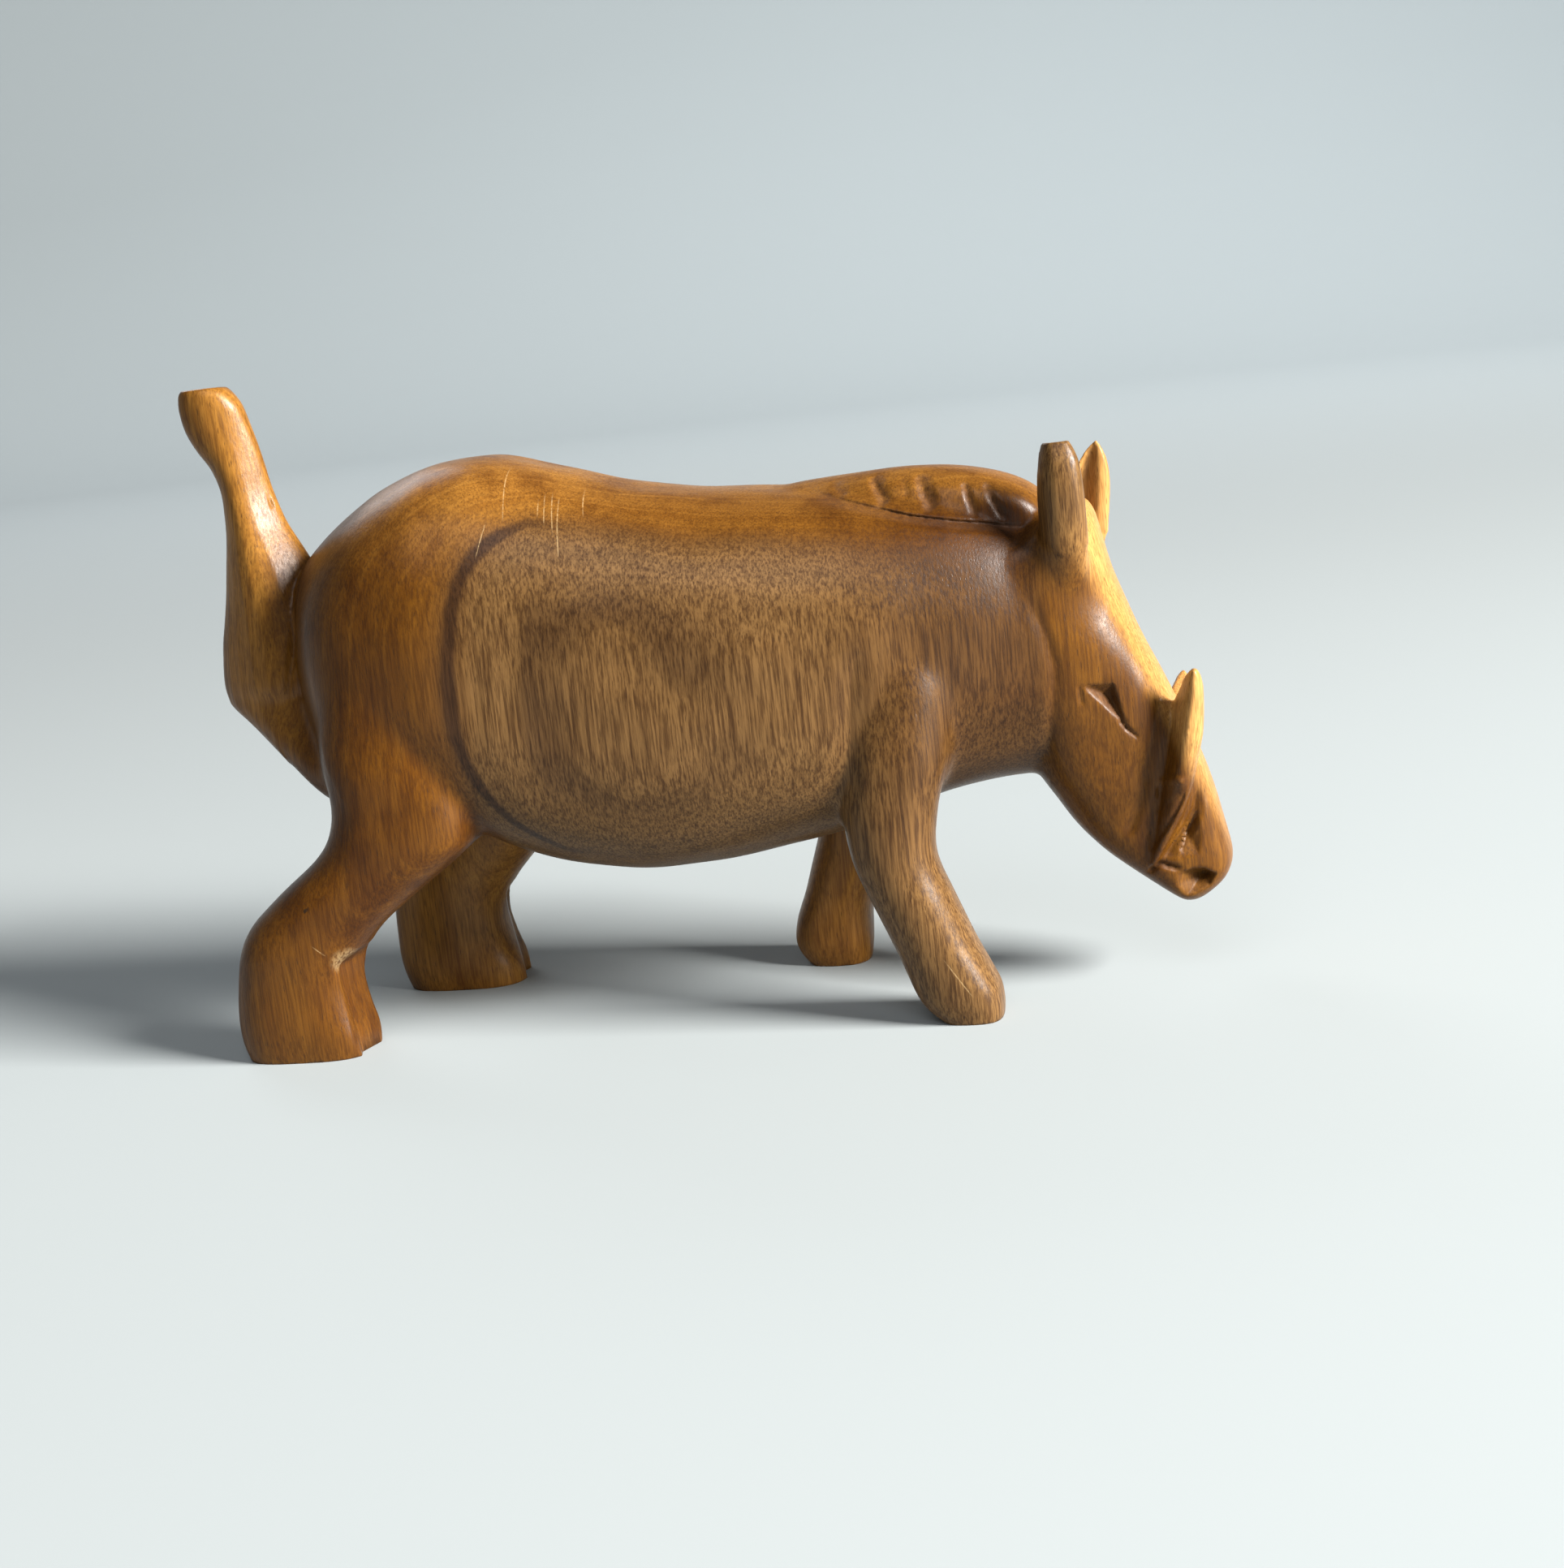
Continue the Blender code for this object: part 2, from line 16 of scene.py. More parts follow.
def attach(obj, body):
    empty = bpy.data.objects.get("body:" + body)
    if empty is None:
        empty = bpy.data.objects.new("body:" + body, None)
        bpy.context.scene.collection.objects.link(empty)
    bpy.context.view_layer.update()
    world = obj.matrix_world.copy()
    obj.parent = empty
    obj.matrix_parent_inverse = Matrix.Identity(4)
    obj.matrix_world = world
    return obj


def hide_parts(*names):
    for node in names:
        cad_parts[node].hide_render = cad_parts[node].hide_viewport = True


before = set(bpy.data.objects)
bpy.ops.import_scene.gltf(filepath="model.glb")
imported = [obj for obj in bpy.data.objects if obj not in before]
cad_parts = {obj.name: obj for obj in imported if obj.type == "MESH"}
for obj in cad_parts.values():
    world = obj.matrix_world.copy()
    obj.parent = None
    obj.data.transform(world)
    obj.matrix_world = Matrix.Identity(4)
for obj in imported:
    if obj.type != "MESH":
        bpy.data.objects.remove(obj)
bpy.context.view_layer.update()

# Driving sizes, in millimetres
BODY_WIDTH = 43.0
HEAD_WIDTH = 26.0
LEG_INSET = 6.0
EAR_INSET = 2.5
EAR_LENGTH = 19.0
MANE_WIDTH = 16.5
SOLES = 1.2  # level of the ground in the tables
RIGHT, LEFT = -1, 1
TO_METRES = 0.001

# Resolution
BODY_VOXEL = 0.45
BODY_SANDING = 14  # everywhere
FLANK_SANDING = 45  # more on the body, where the masses flow into each other
FIGURE_VOXEL = 0.32
FIGURE_SANDING = 3
SANDING_FACTOR = 0.5
TRIANGLES = 190000
RING_POINTS = 64
LOFT_STEPS = 6  # rings for each row of a table
THIN_LOFT_STEPS = 5  # the same for ears and tusks
CORNER_CUT = 0.25  # share of an outline's side that is cut off at each of its ends
# Where the extra sanding of the flanks starts and is full: x in front, x behind, z above the feet
FLANKS_FRONT = (46.0, 38.0)
FLANKS_BACK = (-60.0, -52.0)
FLANKS_FOOT = (14.0, 26.0)

# Torso: x, top z, bottom z, half width as a share of the belly's, power of the section, and how much
# wider it is below
TORSO = (
    (-57.8, 59.0, 45.0, 0.1, 2.2, 0.0),
    (-57.0, 63.9, 41.0, 0.24, 2.2, 0.0),
    (-54.5, 67.9, 37.5, 0.48, 2.2, 0.0),
    (-51.5, 70.6, 35.8, 0.71, 2.4, 0.02),
    (-48.0, 73.2, 34.5, 0.86, 2.5, 0.03),
    (-44.5, 75.5, 33.6, 0.93, 2.6, 0.04),
    (-41.0, 77.4, 33.0, 0.96, 2.7, 0.05),
    (-34.0, 79.8, 30.0, 1.0, 2.8, 0.06),
    (-27.0, 80.2, 25.8, 0.995, 2.8, 0.05),
    (-18.0, 77.9, 22.9, 0.99, 2.75, 0.05),
    (-9.0, 75.2, 21.6, 1.0, 2.7, 0.05),
    (0.0, 73.4, 22.1, 1.0, 2.7, 0.05),
    (9.0, 72.5, 23.4, 0.99, 2.65, 0.05),
    (18.0, 71.7, 24.9, 0.96, 2.6, 0.04),
    (26.0, 71.1, 27.4, 0.89, 2.5, 0.02),
    (34.0, 70.4, 29.4, 0.77, 2.4, 0.0),
    (40.0, 69.4, 30.3, 0.67, 2.3, 0.0),
    (45.0, 67.4, 30.5, 0.59, 2.2, 0.0),
    (49.0, 64.3, 30.8, 0.54, 2.2, 0.0),
    (52.5, 60.0, 36.0, 0.48, 2.2, 0.0),
)
# Legs: z, back x, front x, inward shift of the centre line, half thickness, power
HIND_LEG = (
    (66.0, -46.0, -38.0, 5.8, 6.6, 2.0),
    (58.0, -49.5, -34.0, 4.6, 8.0, 2.0),
    (50.0, -51.5, -31.8, 3.6, 8.6, 2.1),
    (42.0, -52.0, -30.8, 2.6, 8.6, 2.3),
    (36.0, -50.8, -30.8, 1.8, 8.1, 2.8),
    (33.0, -51.2, -30.6, 1.5, 8.0, 2.9),
    (30.0, -52.8, -31.0, 1.2, 7.8, 2.9),
    (27.2, -55.6, -34.4, 0.9, 7.5, 2.7),
    (22.9, -61.2, -40.4, 0.4, 7.2, 2.4),
    (19.6, -64.8, -44.9, 0.2, 7.0, 2.5),
    (16.0, -66.7, -48.4, 0.0, 6.9, 2.5),
    (12.0, -67.5, -50.3, 0.0, 6.8, 2.5),
    (7.0, -68.0, -49.9, 0.0, 6.8, 2.7),
    (4.2, -67.9, -49.2, 0.0, 6.7, 2.9),
    (2.0, -67.4, -49.1, 0.0, 6.5, 3.0),
    (0.0, -66.8, -49.3, 0.0, 6.2, 3.0),
)
RIGHT_FRONT_LEG = (
    (60.0, 24.0, 34.0, 9.0, 7.6, 2.0),
    (52.0, 20.8, 35.9, 6.4, 8.0, 2.1),
    (46.0, 19.9, 36.2, 4.4, 7.9, 2.2),
    (38.0, 19.2, 34.8, 2.3, 7.4, 2.3),
    (30.0, 19.2, 32.2, 0.8, 6.7, 2.3),
    (24.0, 20.0, 31.4, 0.2, 6.3, 2.3),
    (18.0, 22.0, 33.4, 0.0, 6.1, 2.2),
    (12.0, 24.4, 35.5, 0.0, 6.0, 2.2),
    (8.0, 26.0, 37.3, 0.0, 5.9, 2.4),
    (5.0, 27.2, 38.5, 0.0, 5.8, 2.8),
    (3.0, 28.4, 38.7, 0.0, 5.6, 3.0),
    (1.4, 30.0, 38.6, 0.0, 5.3, 3.0),
    (0.0, 31.4, 38.4, 0.0, 4.9, 3.0),
)
LEFT_FRONT_LEG = (
    (60.0, 21.5, 33.0, 9.0, 7.6, 2.0),
    (52.0, 18.6, 33.8, 6.4, 8.0, 2.1),
    (46.0, 17.4, 33.2, 4.4, 7.9, 2.2),
    (38.0, 15.6, 30.4, 2.3, 7.4, 2.3),
    (30.0, 13.4, 26.0, 0.8, 6.7, 2.3),
    (24.0, 12.0, 23.2, 0.2, 6.3, 2.3),
    (18.0, 10.3, 20.8, 0.0, 6.1, 2.2),
    (12.0, 8.2, 18.8, 0.0, 6.0, 2.2),
    (8.0, 6.6, 17.8, 0.0, 5.9, 2.4),
    (5.0, 6.0, 17.5, 0.0, 5.8, 2.8),
    (3.0, 6.5, 17.3, 0.0, 5.6, 3.0),
    (1.4, 7.6, 17.0, 0.0, 5.3, 3.0),
    (0.0, 8.8, 16.8, 0.0, 4.9, 3.0),
)
# The left hind leg steps forward: height, and how far forward of the right one
LEFT_HIND_STEP = ((50.0, 0.0), (38.0, 4.0), (30.0, 8.0), (20.0, 12.0), (0.0, 14.0))
# Tail: z, x of its back, of its side ridge and of its front, half thickness of the three
TAIL = (
    (93.3, -69.6, -66.0, -63.4, 2.0, 3.1, 1.9),
    (92.3, -70.2, -65.9, -62.3, 2.2, 3.6, 2.0),
    (90.4, -70.3, -65.6, -61.1, 2.2, 3.9, 1.8),
    (87.5, -69.8, -64.9, -60.4, 2.1, 4.0, 1.4),
    (84.6, -68.5, -64.0, -59.8, 2.0, 4.1, 1.1),
    (81.8, -66.8, -63.2, -59.2, 1.8, 4.3, 0.9),
    (78.3, -65.8, -62.6, -58.5, 1.7, 4.6, 0.9),
    (73.7, -66.1, -61.8, -57.2, 1.8, 5.6, 0.9),
    (68.0, -67.0, -60.8, -54.4, 2.0, 6.8, 1.4),
    (61.0, -68.2, -59.5, -52.0, 2.3, 8.4, 2.6),
    (56.5, -69.2, -58.8, -52.0, 2.5, 9.2, 3.6),
    (51.9, -69.7, -58.5, -52.0, 2.9, 9.8, 5.4),
    (49.0, -69.2, -58.4, -52.0, 3.4, 9.3, 6.0),
    (46.0, -66.2, -57.9, -52.0, 4.6, 10.6, 8.0),
    (42.1, -61.8, -55.6, -50.0, 6.8, 12.6, 11.0),
    (38.3, -57.8, -52.8, -48.0, 8.6, 14.0, 13.0),
    (35.0, -54.2, -50.4, -47.0, 8.0, 13.0, 12.0),
)
# Head: z, x of its back, of the edge of its face and of its front, half width of the back and of the
# edge, both as shares of the cheeks'
HEAD = (
    (67.0, 49.5, 52.8, 53.8, 0.46, 0.42),
    (65.0, 46.0, 52.6, 55.0, 0.72, 0.64),
    (61.0, 42.0, 52.3, 55.9, 0.9, 0.8),
    (56.7, 42.5, 52.6, 56.9, 0.97, 0.84),
    (51.6, 43.5, 54.4, 58.7, 0.98, 0.83),
    (47.0, 44.0, 56.8, 60.5, 0.97, 0.8),
    (41.3, 43.5, 59.8, 63.0, 0.94, 0.75),
    (36.0, 43.5, 62.5, 65.0, 0.89, 0.69),
    (31.0, 44.6, 64.6, 66.9, 0.82, 0.62),
    (27.4, 46.6, 65.6, 67.9, 0.76, 0.58),
    (23.4, 49.0, 66.6, 68.8, 0.71, 0.56),
    (20.0, 52.2, 67.2, 69.6, 0.68, 0.55),
    (17.0, 55.8, 67.6, 70.0, 0.65, 0.53),
    (14.5, 59.2, 66.8, 69.0, 0.6, 0.5),
    (12.6, 61.9, 65.2, 66.8, 0.5, 0.44),
    (11.5, 63.4, 64.4, 65.2, 0.26, 0.24),
)
FACE_SHARE = 0.55  # half width of the flat of the face, as a share of its edge's
# Mane: x, top z, foot z, half width as a share of the mane's
MANE = (
    (10.0, 71.6, 66.0, 0.20),
    (16.0, 72.6, 66.0, 0.52),
    (23.0, 73.0, 65.5, 0.8),
    (30.0, 73.3, 65.0, 0.94),
    (36.0, 72.9, 64.5, 1.0),
    (42.0, 71.7, 63.0, 0.98),
    (46.5, 69.6, 62.0, 0.86),
    (50.0, 66.6, 60.0, 0.62),
)
MANE_POWER = 2.6
# Ear: share of its length, forward and outward of its foot, share of its full width
RIGHT_EAR = (
    (-0.42, -1.6, -5.4, 0.9),
    (-0.26, -1.4, -3.4, 0.94),
    (-0.12, -0.9, -2.4, 0.98),
    (0.02, -0.5, -1.5, 1.02),
    (0.16, -0.2, -0.7, 1.04),
    (0.3, 0.0, -0.1, 1.04),
    (0.48, 0.1, 0.3, 1.0),
    (0.68, 0.1, 0.4, 0.97),
    (0.84, 0.1, 0.3, 0.9),
    (0.93, 0.0, 0.1, 0.78),
    (1.0, -0.1, 0.0, 0.6),
)
LEFT_EAR = (
    (-0.25, 0.4, -4.0, 0.9),
    (-0.08, 1.0, -2.2, 1.0),
    (0.08, 1.6, -0.8, 1.04),
    (0.26, 2.2, 0.0, 1.03),
    (0.44, 2.7, 0.3, 0.99),
    (0.6, 3.2, 0.4, 0.88),
    (0.74, 3.8, 0.3, 0.64),
    (0.84, 4.2, 0.1, 0.36),
    (0.9, 4.5, 0.0, 0.08),
)
EAR_FOOT_X, EAR_FOOT_Z = 51.0, 56.6
# Section of each ear at its full width: forward, outward. The last points are its hollow
RIGHT_EAR_SECTION = (
    (3.0, 1.4),
    (1.2, 2.3),
    (-1.0, 2.4),
    (-2.6, 1.0),
    (-3.2, -1.0),
    (-2.2, -1.0),
    (-0.9, 0.3),
    (0.9, 0.3),
    (2.1, -1.2),
    (3.1, -0.9),
)
LEFT_EAR_SECTION = (
    (3.2, 0.6),
    (1.6, 2.2),
    (-1.0, 2.4),
    (-2.6, 1.2),
    (-3.2, -0.8),
    (-2.7, -1.0),
    (-1.3, 0.7),
    (0.2, 0.6),
    (1.0, -1.3),
    (2.9, -1.0),
)
# Tusk: z, x of its back, of its outer ridge and of its front, and how far each is inside the cheeks'
# width
TUSK = (
    (44.6, 66.0, 66.4, 66.9, 3.2, 1.8, 3.0),
    (43.6, 65.0, 66.3, 67.5, 4.2, 1.2, 3.6),
    (41.8, 63.8, 66.0, 68.0, 6.0, 0.6, 4.4),
    (39.0, 62.4, 65.3, 68.1, 8.5, 0.3, 4.9),
    (36.0, 61.2, 64.4, 67.9, 11.0, 0.2, 5.0),
    (32.0, 59.8, 63.3, 67.0, 12.0, 0.5, 4.8),
    (28.0, 58.8, 62.3, 65.9, 12.0, 1.0, 4.6),
    (24.0, 58.0, 61.0, 64.2, 12.0, 1.8, 4.6),
    (20.6, 57.6, 59.8, 62.0, 12.0, 2.8, 5.0),
    (18.0, 57.8, 58.9, 60.0, 12.0, 3.8, 6.0),
)
LEFT_TUSK_SHIFT = (-1.4, -3.6)  # the left tusk is carved lower: forward, up


def interpolated(rows, steps):
    """The rows with more between them, on a smooth curve through each column."""
    dense = []
    for i in range(len(rows) - 1):
        before, start = rows[max(i - 1, 0)], rows[i]
        end, after = rows[i + 1], rows[min(i + 2, len(rows) - 1)]
        for step in range(steps):
            t = step / steps
            dense.append(tuple(curved(*column, t) for column in zip(before, start, end, after)))
    dense.append(tuple(rows[-1]))
    return dense


def curved(before, start, end, after, t):
    """A cubic from start to end, with slopes taken from the neighbours and kept gentle."""
    limit = 1.5 * abs(end - start)
    leaving = max(-limit, min(limit, 0.5 * (end - before)))
    arriving = max(-limit, min(limit, 0.5 * (after - start)))
    t2, t3 = t * t, t * t * t
    ease = 3 * t2 - 2 * t3
    return start + ease * (end - start) + (t3 - 2 * t2 + t) * leaving + (t3 - t2) * arriving


def rounded(angle, power):
    """A point of the unit superellipse: power 2 gives a circle, more gives a squarer shape."""
    c, s = math.cos(angle), math.sin(angle)
    return (
        math.copysign(abs(c) ** (2 / power), c),
        math.copysign(abs(s) ** (2 / power), s),
    )


def ring_angles():
    return [2 * math.pi * i / RING_POINTS for i in range(RING_POINTS)]


def lofted(bm, rings):
    """Adds a closed skin through rings of points."""
    layers = [[bm.verts.new(Vector(p)) for p in ring] for ring in rings]
    count = len(layers[0])
    faces = []
    for lower, upper in zip(layers, layers[1:]):
        for i in range(count):
            j = (i + 1) % count
            faces.append(bm.faces.new((lower[i], lower[j], upper[j], upper[i])))
    faces.append(bm.faces.new(layers[0]))
    faces.append(bm.faces.new(layers[-1]))
    bmesh.ops.recalc_face_normals(bm, faces=faces)


def level_rings(rows):
    """Rings at levels of z from rows of z, back x, front x, centre y, half width, power."""
    rings = []
    for z, back, front, mid_y, half, power in interpolated(rows, LOFT_STEPS):
        mid_x, reach = (front + back) / 2, (front - back) / 2
        ring = []
        for angle in ring_angles():
            c, s = rounded(angle, power)
            ring.append((mid_x + reach * c, mid_y + half * s, z))
        rings.append(ring)
    return rings


def upright_rings(rows):
    """Rings across the figure from rows of x, top z, bottom z, half width, power, lower fullness."""
    rings = []
    for x, top, bottom, half, power, fullness in interpolated(rows, LOFT_STEPS):
        mid, reach = (top + bottom) / 2, (top - bottom) / 2
        ring = []
        for angle in ring_angles():
            c, s = rounded(angle, power)
            ring.append((x, half * s * (1 - fullness * c), mid + reach * c))
        rings.append(ring)
    return rings


def torso_rings():
    half = BODY_WIDTH / 2
    return upright_rings([
        (x, top, low, half * share, power, full)
        for x, top, low, share, power, full in TORSO
    ])


def leg_rings(rows, side):
    centre = BODY_WIDTH / 2 - LEG_INSET
    return level_rings([
        (z, back, front, side * (centre - inward), half, power)
        for z, back, front, inward, half, power in rows
    ])


def stepped(rows, step):
    """A leg's rows moved forward by a distance that changes with height."""
    moved = []
    for z, back, front, *rest in rows:
        shift = step[0][1]
        for (high, at_high), (low, at_low) in zip(step, step[1:]):
            if z <= high:
                shift = at_high + (at_low - at_high) * min(1.0, (high - z) / (high - low))
        moved.append((z, back + shift, front + shift, *rest))
    return tuple(moved)


def corners_cut(outline, rounds):
    """A closed outline with its corners cut off again and again, which rounds them."""
    near, far = 1 - CORNER_CUT, CORNER_CUT
    for _ in range(rounds):
        cut = []
        for (x, y), (next_x, next_y) in zip(outline, outline[1:] + outline[:1]):
            cut.append((near * x + far * next_x, near * y + far * next_y))
            cut.append((far * x + near * next_x, far * y + near * next_y))
        outline = cut
    return outline


def cornered_rings(rows, rounds):
    """Rings at levels of z from rows of z, then x of back, edge and front, then their half widths.

    Each ring is a six-cornered outline, whose corners are cut off to round them.
    """
    rings = []
    for z, back, edge, front, back_half, edge_half, front_half in interpolated(rows, LOFT_STEPS):
        side = [(front, front_half), (edge, edge_half), (back, back_half)]
        outline = corners_cut(side + [(x, -y) for x, y in reversed(side)], rounds)
        rings.append([(x, y, z) for x, y in outline])
    return rings


def head_rings():
    cheek = HEAD_WIDTH / 2
    rows = []
    for z, back, edge, front, back_share, edge_share in HEAD:
        edge_half = cheek * edge_share
        rows.append((z, back, edge, front, cheek * back_share, edge_half, edge_half * FACE_SHARE))
    return cornered_rings(rows, rounds=3)


def mane_rings():
    half = MANE_WIDTH / 2
    return upright_rings([(x, top, foot, half * share, MANE_POWER, 0.0) for x, top, foot, share in MANE])


def ear_rings(rows, section, side):
    """A thick leaf, hollowed on the side that faces the other ear."""
    section = list(section)
    foot_y = HEAD_WIDTH / 2 - EAR_INSET
    rings = []
    for share, forward, outward, width in interpolated(rows, THIN_LOFT_STEPS):
        x, y, z = EAR_FOOT_X + forward, foot_y + outward, EAR_FOOT_Z + share * EAR_LENGTH
        rings.append([(x + u * width, side * (y + v * width), z) for u, v in corners_cut(section, 1)])
    return rings


def tusk_rings(side, shift):
    """A three-sided horn along the muzzle, with its ridge outward and its tip free."""
    forward, up = shift
    cheek = HEAD_WIDTH / 2
    rings = []
    for z, back, ridge, front, back_in, ridge_in, front_in in interpolated(TUSK, THIN_LOFT_STEPS):
        level = z + up * (z - TUSK[-1][0]) / (TUSK[0][0] - TUSK[-1][0])
        corners = [(back, back_in), (ridge, ridge_in), (front, front_in), ((back + front) / 2, back_in)]
        rings.append([(x + forward, side * (cheek - inside), level) for x, inside in corners_cut(corners, 2)])
    return rings


def settle(piece):
    """Makes what the modifiers give the object's own mesh."""
    bpy.context.view_layer.update()
    shaped = piece.evaluated_get(bpy.context.evaluated_depsgraph_get())
    mesh = bpy.data.meshes.new_from_object(shaped)
    piece.modifiers.clear()
    piece.data = mesh


def fuse(piece, voxel, steps):
    """Grows overlapping masses into one skin and sands it smooth."""
    remesh = piece.modifiers.new("fuse", "REMESH")
    remesh.mode = "VOXEL"
    remesh.voxel_size = voxel
    sanding = piece.modifiers.new("sand", "SMOOTH")
    sanding.factor = SANDING_FACTOR
    sanding.iterations = steps
    settle(piece)


def sand_flanks(piece):
    """Sands the body more than the head, the tail and the feet."""
    places = points_of(piece)[0]
    x, z = places[:, 0], places[:, 2]
    weight = smooth(x, *FLANKS_FRONT) * smooth(x, *FLANKS_BACK) * smooth(z, *FLANKS_FOOT)
    group = piece.vertex_groups.new(name="flanks")
    levels = np.round(weight * 10).astype(int)
    for level in range(1, 11):
        group.add(np.flatnonzero(levels == level).tolist(), level / 10, "REPLACE")
    sanding = piece.modifiers.new("sand", "SMOOTH")
    sanding.factor = SANDING_FACTOR
    sanding.iterations = FLANK_SANDING
    sanding.vertex_group = "flanks"
    settle(piece)
    piece.vertex_groups.clear()


def add_skins(piece, skins):
    """Joins closed skins, given as rings, to the object's mesh. They may overlap it."""
    bm = bmesh.new()
    bm.from_mesh(piece.data)
    for rings in skins:
        lofted(bm, rings)
    bm.to_mesh(piece.data)
    bm.free()


def points_of(piece):
    """Places and normals of the points of an object's mesh."""
    mesh = piece.data
    places = np.zeros(len(mesh.vertices) * 3, np.float32)
    mesh.vertices.foreach_get("co", places)
    normals = np.zeros(len(mesh.vertices) * 3, np.float32)
    mesh.vertex_normals.foreach_get("vector", normals)
    return places.reshape(-1, 3).astype(float), normals.reshape(-1, 3).astype(float)


def set_points(piece, places):
    piece.data.vertices.foreach_set("co", places.astype(np.float32).ravel())
    piece.data.update()


def thin_out(piece, triangles):
    """Leaves this many triangles, taking them first where the surface is flattest."""
    count = sum(len(face.vertices) - 2 for face in piece.data.polygons)
    decimate = piece.modifiers.new("thin", "DECIMATE")
    decimate.ratio = min(1.0, triangles / count)
    settle(piece)


def stand(piece):
    """Cuts the feet flat on the ground, centres the figure and turns millimetres into metres."""
    bm = bmesh.new()
    bm.from_mesh(piece.data)
    bmesh.ops.translate(bm, verts=bm.verts, vec=(0, 0, -SOLES))
    cut = bmesh.ops.bisect_plane(
        bm,
        geom=bm.verts[:] + bm.edges[:] + bm.faces[:],
        plane_co=(0, 0, 0),
        plane_no=(0, 0, -1),
        clear_outer=True,
    )
    rim = [e for e in cut["geom_cut"] if isinstance(e, bmesh.types.BMEdge)]
    bmesh.ops.holes_fill(bm, edges=rim)
    places = np.array([vert.co for vert in bm.verts])
    middle = (places.min(0) + places.max(0)) / 2
    bmesh.ops.translate(bm, verts=bm.verts, vec=(-middle[0], -middle[1], 0))
    bmesh.ops.scale(bm, verts=bm.verts, vec=(TO_METRES,) * 3)
    bm.to_mesh(piece.data)
    bm.free()


# Knife work. Lines are x, z on the side of the figure, in millimetres
# Line, width on its left and on its right, depth, how rough the knife leaves it and how much painted shade it
# gets
CREASES = {
    "tail_root": (
        (
            (-54.3, 68.6), (-54.6, 66.0), (-55.0, 63.0), (-56.0, 57.5), (-57.2, 52.0), (-58.2, 48.6),
        ),
        0.7, 1.0, 0.6, 0.3,
    ),
    "shoulder": (
        (
            (24.0, 52.0), (22.6, 47.0), (22.0, 41.5), (20.9, 36.0), (19.6, 31.0),
        ),
        2.8, 2.6, 0.45, 0.0,
    ),
    "neck": (
        (
            (46.0, 56.5), (46.6, 54.2), (48.0, 50.1), (48.6, 45.8), (47.8, 40.4), (46.9, 35.8),
            (47.2, 31.5),
        ),
        1.2, 1.4, 0.28, 0.2,
    ),
    "cheek": (((59.6, 31.0), (58.9, 28.6), (58.0, 26.2), (57.0, 24.0), (56.1, 22.3)), 1.2, 1.8, 0.5, 0.2),
    "face_hollow": (
        (
            (63.8, 46.5), (62.6, 42.2), (61.4, 39.5), (60.7, 36.5), (59.8, 33.2), (58.9, 30.4),
            (58.3, 28.4),
        ),
        1.4, 3.2, 0.7, 0.1,
    ),
    "eye_line": (((56.2, 38.6), (57.2, 37.2), (58.6, 35.7)), 0.5, 0.35, 0.55, 1.0),
    "eye_crease": (((51.6, 43.8), (51.8, 40.9)), 0.35, 0.5, 0.3, 0.5),
    "mouth": (((58.4, 16.8), (60.2, 18.2), (61.6, 17.6), (63.0, 17.1)), 0.7, 0.6, 0.8, 1.0),
    "tail_slit": (((-58.9, 80.2), (-58.7, 78.0), (-58.5, 75.6)), 0.3, 0.35, 0.35, 1.0),
    "lip": (((60.9, 29.0), (62.9, 30.2), (64.4, 29.6)), 0.8, 0.8, -0.35, 0.5),
    "blade_front": (
        (
            (65.8, 27.8), (65.1, 25.3), (63.9, 23.1), (62.0, 20.7), (60.2, 18.4),
        ),
        1.8, 0.3, 0.9, 0.2,
    ),
    "blade_inside": (
        (
            (64.4, 28.7), (63.3, 26.4), (61.9, 24.1), (60.3, 21.9), (59.0, 20.0),
        ),
        0.35, 1.8, 0.7, 0.5,
    ),
}
# The cut under the mane, and its widths, depth, and how rough it is and how much painted shade it gets
MANE_LINE = (
    (16.5, 71.9), (18.8, 71.3), (22.0, 70.4), (27.5, 68.8), (31.5, 67.6), (35.1, 66.8),
    (37.9, 66.2), (40.7, 65.7), (44.1, 64.9), (46.4, 64.6),
)
MANE_LINE_CUT = (0.4, 1.3, 0.8, 0.7)
# Scoops in the mane's side, from top to bottom, with their width on the left and their depth
MANE_SCOOPS = (
    ((20.8, 72.6), (22.6, 70.5), 1.6, 0.3),
    ((26.2, 72.8), (28.1, 68.9), 1.7, 0.75),
    ((30.4, 72.6), (31.0, 69.6), 1.2, 0.2),
    ((32.4, 72.6), (34.2, 67.6), 2.0, 0.7),
    ((38.4, 71.2), (39.8, 66.2), 1.1, 0.5),
    ((41.0, 71.0), (43.4, 65.6), 1.1, 0.5),
)
SCOOP_RIGHT = 0.55  # width of a scoop on its right, as a share of that on its left
# How rough the scoops are and how much painted shade they get
SCOOP_MARK = 1.0
# Pits: corners, deepest point, depth, how much steeper than a pyramid the walls are, how rough and how much
# painted shade
PITS = {
    "eye": (((51.8, 43.8), (56.0, 43.6), (57.3, 37.2)), (55.3, 41.6), 1.5, 1.25, 1.0),
    "nostril": (
        (
            (62.3, 16.6), (64.2, 17.2), (65.9, 17.0), (67.7, 15.8), (66.6, 14.2), (64.6, 13.4),
            (63.3, 13.1), (62.1, 14.9),
        ),
        (65.9, 15.8), 2.6, 1.1, 0.5,
    ),
    "lip_hollow": (
        (
            (65.5, 26.8), (66.0, 21.5), (65.5, 18.9), (60.9, 18.1), (62.6, 20.6), (64.6, 24.2),
        ),
        (63.9, 22.0), 1.2, 1.1, 0.2,
    ),
    "pad": (
        (
            (60.2, 28.8), (62.4, 29.9), (64.6, 29.2), (64.0, 27.6), (62.9, 26.0), (61.6, 24.6),
            (60.2, 25.2),
        ),
        (61.6, 27.4), 0.5, 1.8, 0.4,
    ),
}
